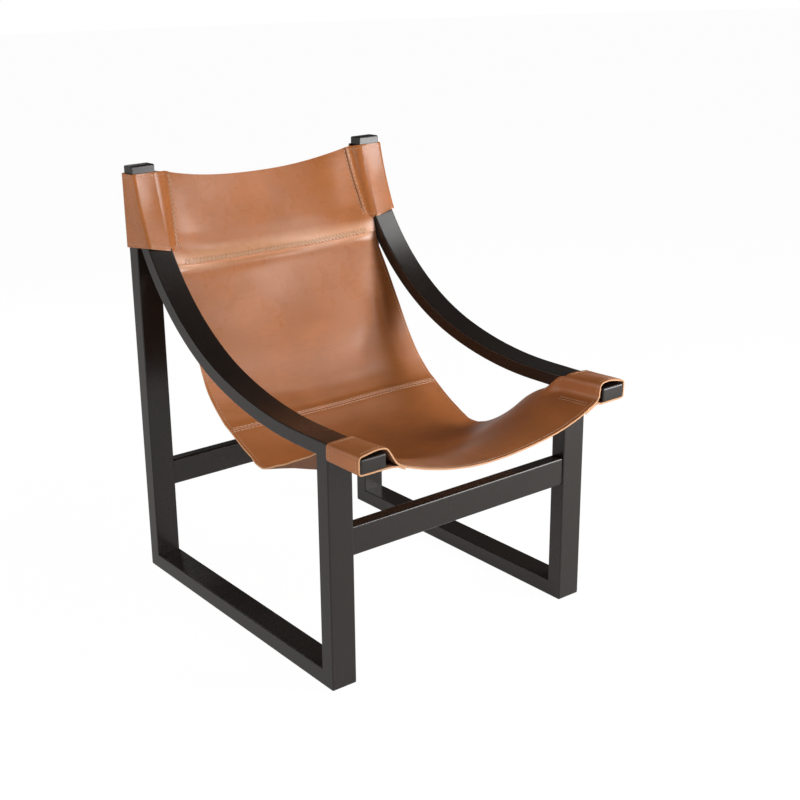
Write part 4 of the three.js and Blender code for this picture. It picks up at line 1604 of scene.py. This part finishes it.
@dataclass
class HeadBand:
    """The band across the top, which laps over the back panel."""

    palette: Palette
    press: float = 0.0005
    room: float = 0.0006
    # Rows of the sling: where its close rows start over the sleeves' end, and round that end
    # where the band widens to the sling's own edge
    close: float = 0.05
    widens: tuple = (-0.02, 0.10)
    seam_offset: float = 0.0040
    zigzag_pitch: float = 0.0098
    zigzag_ends: float = 0.024
    zigzag_low: float = 0.0022
    zigzag_high: float = 0.0115
    zigzag_thread: float = 0.0008
    zigzag_holes: tuple = (0.0018, 0.0014)

    def __post_init__(self) -> None:
        """Finds the rows where the band starts to rise and where it lies on the back panel."""
        self.step_end = SLING.walk(SLING.band_bottom, -HIDE.band_lap)
        self.step_start = SLING.walk(self.step_end, -HIDE.band_step)
        self.rise_start = SLING.walk(self.step_end, -HIDE.band_rise)

    def lift(self, row: float) -> float:
        """How far the band lies above the sling's middle layer.

        Args:
            row: Place along the band.

        Returns:
            The distance.
        """
        ridge = smooth_step(row, self.rise_start, self.step_end)
        flatten = smooth_step(row, self.step_end, SLING.band_bottom)
        return (HIDE.step + self.room) * ridge - self.press * flatten

    def half(self, row: float, side: int) -> float:
        """Half width of the band.

        Args:
            row: Place along the band.
            side: -1 for its left half, 1 for its right.

        Returns:
            The half width.
        """
        start, end = (SLEEVE_END_ROW + rows for rows in self.widens)
        below = smooth_step(row, start, end)
        in_sleeve = WOOD.inner - seam_inset(row, side) + sleeve_lap(row)
        return in_sleeve + (SLING.half(row) - in_sleeve) * below

    def build(self) -> bpy.types.Object:
        """Makes the band and its stitching.

        Returns:
            The band.
        """
        close = SLEEVE_END_ROW - self.close
        parts = (
            (0, close, 30),
            (close, self.step_start, 10),
            (self.step_start, self.step_end, 6),
            (self.step_end, SLING.band_bottom, 6),
        )
        rows = np.concatenate([[0.0], *[spread(*part)[1:] for part in parts]])
        grid = hanging_grid(rows, self.half, self.lift)
        band = add_piece(
            "head_band_leather",
            Sheet(grid, rims={len(rows) - 1: 0}).mesh(),
            self.palette.hide,
            ["head_band"],
        )
        sewing = Stitches()
        self.zigzag(sewing)
        for side in (-1, 1):
            sewing.row(self.seam_line(side))
        pieces = sewing.piece("head_band", self.palette)
        return band

    def seam_line(self, side: int) -> list:
        """Line of the stitches on the band beside a sleeve's seam.

        Args:
            side: -1 for the left sleeve, 1 for the right.

        Returns:
            Pairs of a point and the direction out of the leather.
        """
        rows = spread(0.05, SLEEVE_END_ROW, 24)
        return [
            on_hide(r, side * (WOOD.inner - seam_inset(r, side) - self.seam_offset), self.lift(r))
            for r in rows
        ]

    def zigzag(self, sewing: Stitches) -> None:
        """Sews the zigzag that holds the lap.

        Args:
            sewing: The stitches to add it to.
        """
        pitch, thread = self.zigzag_pitch, self.zigzag_thread
        half = SLING.half(SLING.band_bottom) - self.zigzag_ends
        low_row = SLING.walk(SLING.band_bottom, -self.zigzag_low)
        high_row = SLING.walk(SLING.band_bottom, -self.zigzag_high)
        for i in range(int(2 * half / pitch)):
            x = -half + i * pitch
            low, up = on_hide(low_row, x, self.lift(low_row))
            high, _ = on_hide(high_row, x + pitch / 2, self.lift(high_row))
            after, _ = on_hide(low_row, x + pitch, self.lift(low_row))
            sewing.one(low, high, up, thread)
            sewing.one(high, after, up, thread)
            for point, radius in zip((low, high), self.zigzag_holes):
                sewing.hole(point, up, radius)


@dataclass
class PostSleeve:
    """One sleeve, wrapped round the rail and the rear leg and sewn to the band."""

    side: int
    name: str
    palette: Palette
    slack: float = 0.0042
    loose_top: float = 0.0030
    loose_taper: float = 0.0014
    low_inner: float = -0.009
    low_front: float = 0.006
    low_back: float = -0.005
    edge_seam_inset: float = 0.0035
    steps: int = 34
    # How far the turn on the band lies inside the lap's end, and the turn onto the rail inside
    # the wood's inner face, at the top and how much less at the bottom.
    lap_turn: float = 0.004
    rail_turn: float = 0.003
    rail_turn_taper: float = 0.005
    # Where the front presses on the wood, from its inner face.
    pressed: float = 0.026
    # How loosely the back lies on the leg at its outer and its inner corner.
    back_outer: float = 0.0012
    back_inner: float = 0.0008
    # Runs of the roundings, from the seam on the band round to the seam behind it.
    turns: tuple = (0, 0.008, 0.016, 0.020, 0.0110, 0.012, 0.0062, 0.0052, 0.004, 0)

    def corners(self, row: float) -> list:
        """The sleeve's path at a row of the band.

        Args:
            row: Place along the band.

        Returns:
            Corners of the path, each with the run of its rounding.
        """
        down = row / SLEEVE_END_ROW
        height = SLEEVE_TOP - HIDE.sleeve_height * down
        seam = WOOD.inner - seam_inset(row, self.side)
        lap_end = seam + sleeve_lap(row) + HIDE.thickness

        def at(x: float, depth: float, rise: float = 0.0) -> np.ndarray:
            """A corner beside the wood, raised by a share that grows downwards."""
            return np.array([self.side * x, depth, height + rise * down**2])

        def on_band(x: float, lift: float, rise: float = 0.0) -> np.ndarray:
            """A corner on the band, raised likewise."""
            return hide_surface(row, self.side * x, lift) + (0, 0, rise * down**2)

        front = sleeve_depth(height)
        back = WOOD.base_depth + HIDE.seat
        outside = WOOD.outer + HIDE.seat
        inside = WOOD.inner - HIDE.seat
        slack = self.slack * (0.6 + 0.4 * math.sin(math.pi * min(down * 0.9 + 0.1, 1)))
        loose = self.loose_top - self.loose_taper * down
        low_inner, low_front, low_back = self.low_inner, self.low_front, self.low_back
        hollow = 0.0012 + 0.0006 * math.sin(9 * down + 1.1)
        onto_rail = inside - self.rail_turn + self.rail_turn_taper * down
        middle_depth, low_middle = (front + back) / 2, (low_front + low_back) / 2
        points = (
            on_band(seam, HIDE.step, low_inner * 0.3),
            on_band(lap_end - self.lap_turn, HIDE.step, low_inner * 0.7),
            at(onto_rail, front - slack, low_inner),
            at(WOOD.inner + self.pressed, front - hollow, low_inner * 0.3),
            at(outside + loose, front - slack, low_front),
            at(outside + loose * 0.5, middle_depth, low_middle),
            at(outside + loose * 0.8, back + self.back_outer, low_back),
            at(inside, back + self.back_inner, low_back),
            on_band(lap_end, -HIDE.step),
            on_band(seam, -HIDE.step),
        )
        return list(zip(points, self.turns))

    def path(self, row: float) -> np.ndarray:
        """The rounded path at a row."""
        return folded(self.corners(row), self.side > 0)

    def build(self) -> bpy.types.Object:
        """Makes the sleeve and its stitching.

        Returns:
            The sleeve.
        """
        rows = spread(0, SLEEVE_END_ROW, self.steps)
        grid = np.array([self.path(r) for r in rows])
        sheet = Sheet(grid)
        node = f"{self.name}_post_sleeve"
        sleeve = add_piece(
            f"{node}_leather", sheet.mesh(), self.palette.hide, [node]
        )
        sewing = Stitches()
        last, columns = len(rows) - 1, grid.shape[1] - 1
        for row, way in ((0, 1), (last, -1)):
            line = sheet.line(range(1, columns), row, way, HIDE.stitch_inset, down=True)
            sewing.row(line, EDGE_SEAM)
        column, way = (0, 1) if self.side > 0 else (columns, -1)
        sewing.row(sheet.line(range(1, last), column, way, self.edge_seam_inset))
        pieces = sewing.piece(node, self.palette)
        return sleeve


# Distances of the rows that draw the seat seam, in metres from it
SEAM_STEPS = (0.0, 0.0006, 0.0012, 0.0020, 0.0032, 0.0044, 0.0057, 0.0072, 0.0090, 0.0120)


@dataclass
class BackPanel:
    """The panel from under the band to the seat seam."""

    palette: Palette
    steps: int = 60
    # How far under the band the edges' stitches start, and the rows they leave free at the seam.
    below_band: float = 0.006
    free_rows: int = 4

    def build(self) -> bpy.types.Object:
        """Makes the panel and its stitching.

        Returns:
            The panel.
        """
        top = SLING.walk(SLING.band_bottom, -HIDE.band_lap)
        near = SLING.seam - np.array(SEAM_STEPS[::-1]) / SLING.seam_scale
        rows = np.concatenate([spread(top, near[0], self.steps)[:-1], near])
        grid = hanging_grid(rows, SLING.half)
        # The cut edge at the seat seam takes the dark seam material, painted shade in the seam's
        # groove
        sheet = Sheet(grid, rims={len(rows) - 1: 3})
        panel = add_piece(
            "back_panel_leather", sheet.mesh(), self.palette.hide, ["back_panel"]
        )
        sewing = Stitches()
        across = range(1, grid.shape[1] - 1)
        last = len(rows) - 1
        sewing.row(sheet.line(across, last, -1, HIDE.seam_stitch, down=True))
        first = int(np.searchsorted(rows, SLING.walk(SLING.band_bottom, self.below_band)))
        for column, way in ((0, 1), (grid.shape[1] - 1, -1)):
            line = sheet.line(range(first, last - self.free_rows), column, way, HIDE.stitch_inset)
            sewing.row(line, EDGE_SEAM)
        pieces = sewing.piece("back_panel", self.palette)
        return panel


@dataclass(frozen=True)
class LoopShape:
    """How loosely one loop lies round its stub, in metres."""

    foot: float
    foot_rise: float
    shoulder: float
    crown_back: float
    crown_front: float
    loose: float


LOOPS = {
    -1: LoopShape(0.027, 0.010, 0.004, 0.0015, 0.0085, 0.0004),
    1: LoopShape(0.010, 0.017, 0.006, 0.0050, 0.0125, 0.0030),
}


@dataclass
class SeatPanel:
    """The hanging seat, whose front corners run out into two loops round the stubs."""

    palette: Palette
    strip: int = 17
    hang_rows: int = 84
    tab_rows: int = 14
    middle_steps: int = 60
    lap_seams: tuple = (0.017, 0.0235)
    # Where a loop's top crosses its stub and where its underside turns in, from the inner face;
    # its height over the stub at both shoulders, as shares of the crown; how much of its play is
    # left at the bottom; and how far it sags there.
    crown_at: float = 0.019
    turn_in: float = 0.008
    shoulders: tuple = (0.75, 0.25)
    play_below: float = 0.4
    sag_below: float = 0.0004
    # Runs of the roundings, from the flat seat over the stub and back under the seat.
    turns: tuple = (0, 0.010, 0.010, 0.011, 0.0085, 0.0065, 0.005, 0.004, 0)

    def tab(self, row: float, side: int) -> np.ndarray:
        """The path of a loop at a row, from the flat seat over, round and back under the stub.

        Args:
            row: Place along the sling.
            side: -1 for the left loop, 1 for the right.

        Returns:
            The points.
        """
        flat = SLING.point(row, side * (WOOD.inner - HIDE.tab_lap))

        def at(x: float, height: float) -> np.ndarray:
            """A corner of the path at this depth."""
            return np.array([side * x, flat[1], height])

        shape = LOOPS[side]
        forward = smooth_step(-flat[1], 0.0, WOOD.stub)
        crown = shape.crown_back + (shape.crown_front - shape.crown_back) * forward
        foot = at(WOOD.inner - shape.foot, flat[2] + shape.foot_rise)
        way = (foot - flat) / np.linalg.norm(foot - flat)
        under = np.array([side * way[2], 0, -abs(way[0])]) * HIDE.step
        over = WOOD.rail_top + HIDE.seat
        below = WOOD.rail_bottom - HIDE.seat
        outside = WOOD.outer + HIDE.seat
        inner_shoulder, outer_shoulder = (over + crown * share for share in self.shoulders)
        points = (
            flat,
            foot,
            at(WOOD.inner - shape.shoulder, inner_shoulder),
            at(WOOD.inner + self.crown_at, over + crown),
            at(outside + shape.loose, outer_shoulder),
            at(outside + shape.loose * self.play_below, below),
            at(WOOD.inner - self.turn_in, below - self.sag_below),
            foot + under - way * HIDE.thickness,
            flat + under,
        )
        corners = list(zip(points, self.turns))
        return folded(corners, steps=(4,))

    def side_line(self, row: float, side: int) -> np.ndarray:
        """The columns of one side at a row, from the flat middle outwards.

        Args:
            row: Place along the sling.
            side: -1 for the left, 1 for the right.

        Returns:
            The points.
        """
        path = self.tab(row, side)
        flat_half = WOOD.inner - HIDE.tab_lap
        depth = path[0][1]
        rise = 1 - smooth_step(depth, -HIDE.tab_back_gap, HIDE.tab_rise)
        half = SLING.half(row, side)
        out = path.copy()
        for i in range(self.strip + 1):
            across = flat_half + (half - flat_half) * i / self.strip
            hang = hide_surface(row, side * across)
            out[i] = hang + (path[i] - hang) * rise
        return out

    def build(self) -> bpy.types.Object:
        """Makes the seat and its stitching.

        Returns:
            The seat.
        """
        flat_half = WOOD.inner - HIDE.tab_lap
        near = SLING.seam + np.array(SEAM_STEPS) / SLING.seam_scale
        hang = spread(near[-1], SLING.tab_back, self.hang_rows)[1:]
        tabs = spread(SLING.tab_back, SLING.front, self.tab_rows)[1:]
        rows = np.concatenate([near, hang, tabs])
        lines = []
        for row in rows:
            across = spread(-flat_half, flat_half, self.middle_steps)[1:-1]
            middle = [hide_surface(row, x) for x in across]
            left, right = self.side_line(row, -1)[::-1], self.side_line(row, 1)
            lines.append(np.concatenate([left, middle, right]))
        grid = np.array(lines)
        columns = grid.shape[1] - 1
        outer = len(self.side_line(rows[-1], 1)) - 1 - self.strip
        first = len(rows) - 1 - self.tab_rows

        def kept(i: int, j: int) -> bool:
            """True in the loops' rows, and elsewhere between the seat's edges."""
            return i >= first or outer <= j < columns - outer

        # The cut edge at the seat seam takes the dark seam material, painted shade in the seam's
        # groove
        sheet = Sheet(grid, kept, rims={-1: 3})
        seat = add_piece(
            "seat_panel_leather", sheet.mesh(), self.palette.hide, ["seat_panel"]
        )
        pieces = self.sew(sheet, first, outer)
        return seat

    def sew(self, sheet: Sheet, first: int, outer: int) -> list:
        """Sews the seam, the free edges and the loops.

        Args:
            sheet: The seat's sheet.
            first: First row of the loops.
            outer: How many columns a loop has beyond the seat's edge.

        Returns:
            The stitching's objects.
        """
        sewing = Stitches()
        rows, columns = sheet.grid.shape[0] - 1, sheet.grid.shape[1] - 1
        inset = HIDE.stitch_inset
        across = range(outer + 1, columns - outer)
        sewing.row(sheet.line(across, 0, 1, HIDE.seam_stitch, down=True))
        for column, way in ((outer, 1), (columns - outer, -1)):
            line = sheet.line(range(6, first), column, way, inset)
            sewing.row(line, EDGE_SEAM)
        front = sheet.line(range(2, columns - 1), rows, -1, inset, down=True)
        sewing.row(front, EDGE_SEAM)
        flat = outer + self.strip
        for start, edge, way in ((flat, outer, -1), (columns - flat, columns - outer, 1)):
            loop = range(2, edge + 1) if way < 0 else range(edge, columns - 1)
            sewing.row(sheet.line(loop, first, 1, inset, down=True), EDGE_SEAM)
            for distance in self.lap_seams:
                lap = sheet.line(range(first + 1, rows - 1), start, way, distance)
                sewing.row(lap, LOOP_SEAM)
        return sewing.piece("seat_panel", self.palette)


@dataclass(frozen=True)
class View:
    """The photograph's camera, in the frame of the front leg's front face, in metres."""

    place: tuple = (-1.6097, -1.7716, 1.3349)
    azimuth: float = 33.57
    elevation: float = 17.90
    roll: float = -2.18
    focal: float = 1290.6
    centre: tuple = (278.2, 382.6)
    size: float = 800.0
    sensor: float = 36.0
    clip: tuple = (0.1, 50.0)

    def build(self) -> bpy.types.Object:
        """Makes the camera.

        Returns:
            The camera.
        """
        az, el, roll = (math.radians(v) for v in (self.azimuth, self.elevation, self.roll))
        ahead = Vector(
            (math.sin(az) * math.cos(el), math.cos(az) * math.cos(el), -math.sin(el))
        )
        right = Vector((math.cos(az), -math.sin(az), 0))
        up = right.cross(ahead)
        right, up = (
            right * math.cos(roll) + up * math.sin(roll),
            up * math.cos(roll) - right * math.sin(roll),
        )
        data = bpy.data.cameras.new("photo_view")
        data.sensor_width = self.sensor
        data.lens = self.focal / self.size * self.sensor
        data.shift_x = (self.size / 2 - self.centre[0]) / self.size
        data.shift_y = (self.centre[1] - self.size / 2) / self.size
        data.clip_start, data.clip_end = self.clip
        camera = bpy.data.objects.new("photo_view", data)
        bpy.context.scene.collection.objects.link(camera)
        turn = Matrix((right, up, -ahead)).transposed().to_4x4()
        where = Vector(self.place) - Vector((0, WOOD.middle_depth, 0))
        camera.matrix_world = Matrix.Translation(where) @ turn
        bpy.context.scene.camera = camera
        return camera


@dataclass(frozen=True)
class SoftBox:
    """A square studio lamp on a dome round the chair."""

    name: str
    azimuth: float
    elevation: float
    power: float
    size: float = 1.1
    reach: float = 3.0
    aim: tuple = (0.0, 0.0, 0.5)

    def build(self) -> None:
        """Makes the lamp; azimuth 0 is in front of the chair and 90 on its right."""
        data = bpy.data.lights.new(self.name, "AREA")
        data.shape = "SQUARE"
        data.size = self.size
        data.energy = self.power
        lamp = bpy.data.objects.new(self.name, data)
        bpy.context.scene.collection.objects.link(lamp)
        az, el = math.radians(self.azimuth), math.radians(self.elevation)
        way = Vector((math.sin(az) * math.cos(el), -math.cos(az) * math.cos(el), math.sin(el)))
        lamp.location = way * self.reach + Vector(self.aim)
        lamp.rotation_euler = (-way).to_track_quat("-Z", "Y").to_euler()


class Studio:
    """A pale floor in white surroundings under a dimmer ceiling, and the lamps."""

    # The surroundings' light by height, from straight down to the zenith: a dim ceiling.
    LIGHT = ((0.0, 0.1), (0.5, 0.1), (0.6, 0.06), (1.0, 0.03))
    # How gloss shows them: white up to the horizon, then the same dim ceiling.
    SEEN = ((0.0, 1.0), (0.48, 1.0), (0.53, 0.08), (1.0, 0.02))
    LAMPS = (
        SoftBox("key_right", 41, 12, 78, 1.4),
        SoftBox("key_upper", 37, 23, 5),
        SoftBox("side_right", 63, 44, 15, 0.9),
        SoftBox("front_left", -62, 12, 22, 1.8),
        SoftBox("rim_left", -115, 24, 26, 2.0),
        SoftBox("rim_back", 180, 15, 12, 1.8),
    )
    # Strength of the floor's white, its share for the camera and in gloss, and the floor's sizes.
    FLOOR_GLOW = 1.04
    FLOOR_TO_CAMERA = 0.94
    FLOOR_IN_GLOSS = 0.44
    FLOOR_RADIUS = 30
    FLOOR_DROP = 0.0005

    def world(self) -> None:
        """Makes the surroundings."""
        world = bpy.data.worlds.new("white_studio")
        bpy.context.scene.world = world
        n = Nodes(world)
        n.tree.nodes.clear()
        axes = n.add("SeparateXYZ", (n.add("TexCoord", ())["Generated"],))
        height = n.add("MapRange", (axes[2], -1, 1, 0, 1))[0]
        light, seen = (
            n.add("ValToRGB", (height,), [(at, (level, level, level, 1)) for at, level in stops])[0]
            for stops in (self.LIGHT, self.SEEN)
        )
        path = n.add("LightPath", ())
        shiny = n.add("Math", (path["Is Glossy Ray"], path["Is Transmission Ray"]))[0]
        colour = n.add("Mix", {0: shiny, 6: light, 7: seen}, data_type="RGBA")[2]
        white = {0: path["Is Camera Ray"], 6: colour, 7: (1, 1, 1, 1)}
        colour = n.add("Mix", white, data_type="RGBA")[2]
        n.add("OutputWorld", (n.add("Background", (colour,))[0],))

    def floor(self) -> None:
        """Makes the pale floor, white to the camera and in gloss, with the chair's soft shadow."""
        n = Nodes(bpy.data.materials.new("pale_studio_floor"))
        material = n.dress({"Base Color": linear("dcdad7"), "Roughness": 0.9})
        path = n.add("LightPath", ())
        shiny = n.add("Math", (path["Is Glossy Ray"], path["Is Transmission Ray"]))[0]
        shiny = n.add("Math", (shiny, self.FLOOR_IN_GLOSS), operation="MULTIPLY")[0]
        seen = (path["Is Camera Ray"], self.FLOOR_TO_CAMERA, shiny)
        share = n.add("Math", seen, operation="MULTIPLY_ADD")[0]
        glow = n.add("Emission", ((1, 1, 1, 1), self.FLOOR_GLOW))[0]
        lit = n.tree.nodes["Principled BSDF"].outputs[0]
        mixed = n.add("MixShader", (share, lit, glow))[0]
        n.put(n.tree.nodes["Material Output"], (mixed,))
        bm = bmesh.new()
        bmesh.ops.create_circle(bm, cap_ends=True, segments=64, radius=self.FLOOR_RADIUS)
        bmesh.ops.translate(bm, verts=bm.verts, vec=(0, 0, -self.FLOOR_DROP))
        mesh = bpy.data.meshes.new("studio_floor")
        bm.to_mesh(mesh)
        bm.free()
        mesh.materials.append(material)
        floor = bpy.data.objects.new("studio_floor", mesh)
        bpy.context.scene.collection.objects.link(floor)

    def build(self) -> None:
        """Makes the surroundings, the floor and the lamps."""
        self.world()
        self.floor()
        for lamp in self.LAMPS:
            lamp.build()
        bpy.context.scene.view_settings.view_transform = "Standard"


class HiddenFixings:
    """The CAD nodes that stay: dowels and barrel nuts get their materials."""

    def __init__(self, palette: Palette) -> None:
        """Takes the materials."""
        self.palette = palette

    def build(self) -> None:
        """Assigns the materials."""
        for name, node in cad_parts.items():
            if name.endswith(("_dowel", "_nut")):
                material = self.palette.beech if name.endswith("_dowel") else self.palette.nut
                node.data.materials.clear()
                node.data.materials.append(material)


def main() -> None:
    """Builds the whole scene."""
    logging.basicConfig(level=logging.INFO)
    View().build()
    Studio().build()
    palette = Palette()
    HiddenFixings(palette).build()
    for side, name in ((-1, "left"), (1, "right")):
        SideFrame(side, name, palette).build()
    rear = WOOD.base_depth - WOOD.leg / 2
    depths = (WOOD.leg / 2, rear, rear)
    names = ("front_stretcher", "lower_rear_stretcher", "upper_rear_stretcher")
    for node, depth, height in zip(names, depths, WOOD.stretcher_heights):
        Stretcher(node, depth, height, palette).build()
    HeadBand(palette).build()
    BackPanel(palette).build()
    SeatPanel(palette).build()
    for side, name in ((-1, "left"), (1, "right")):
        PostSleeve(side, name, palette).build()


if __name__ == "__main__":
    main()
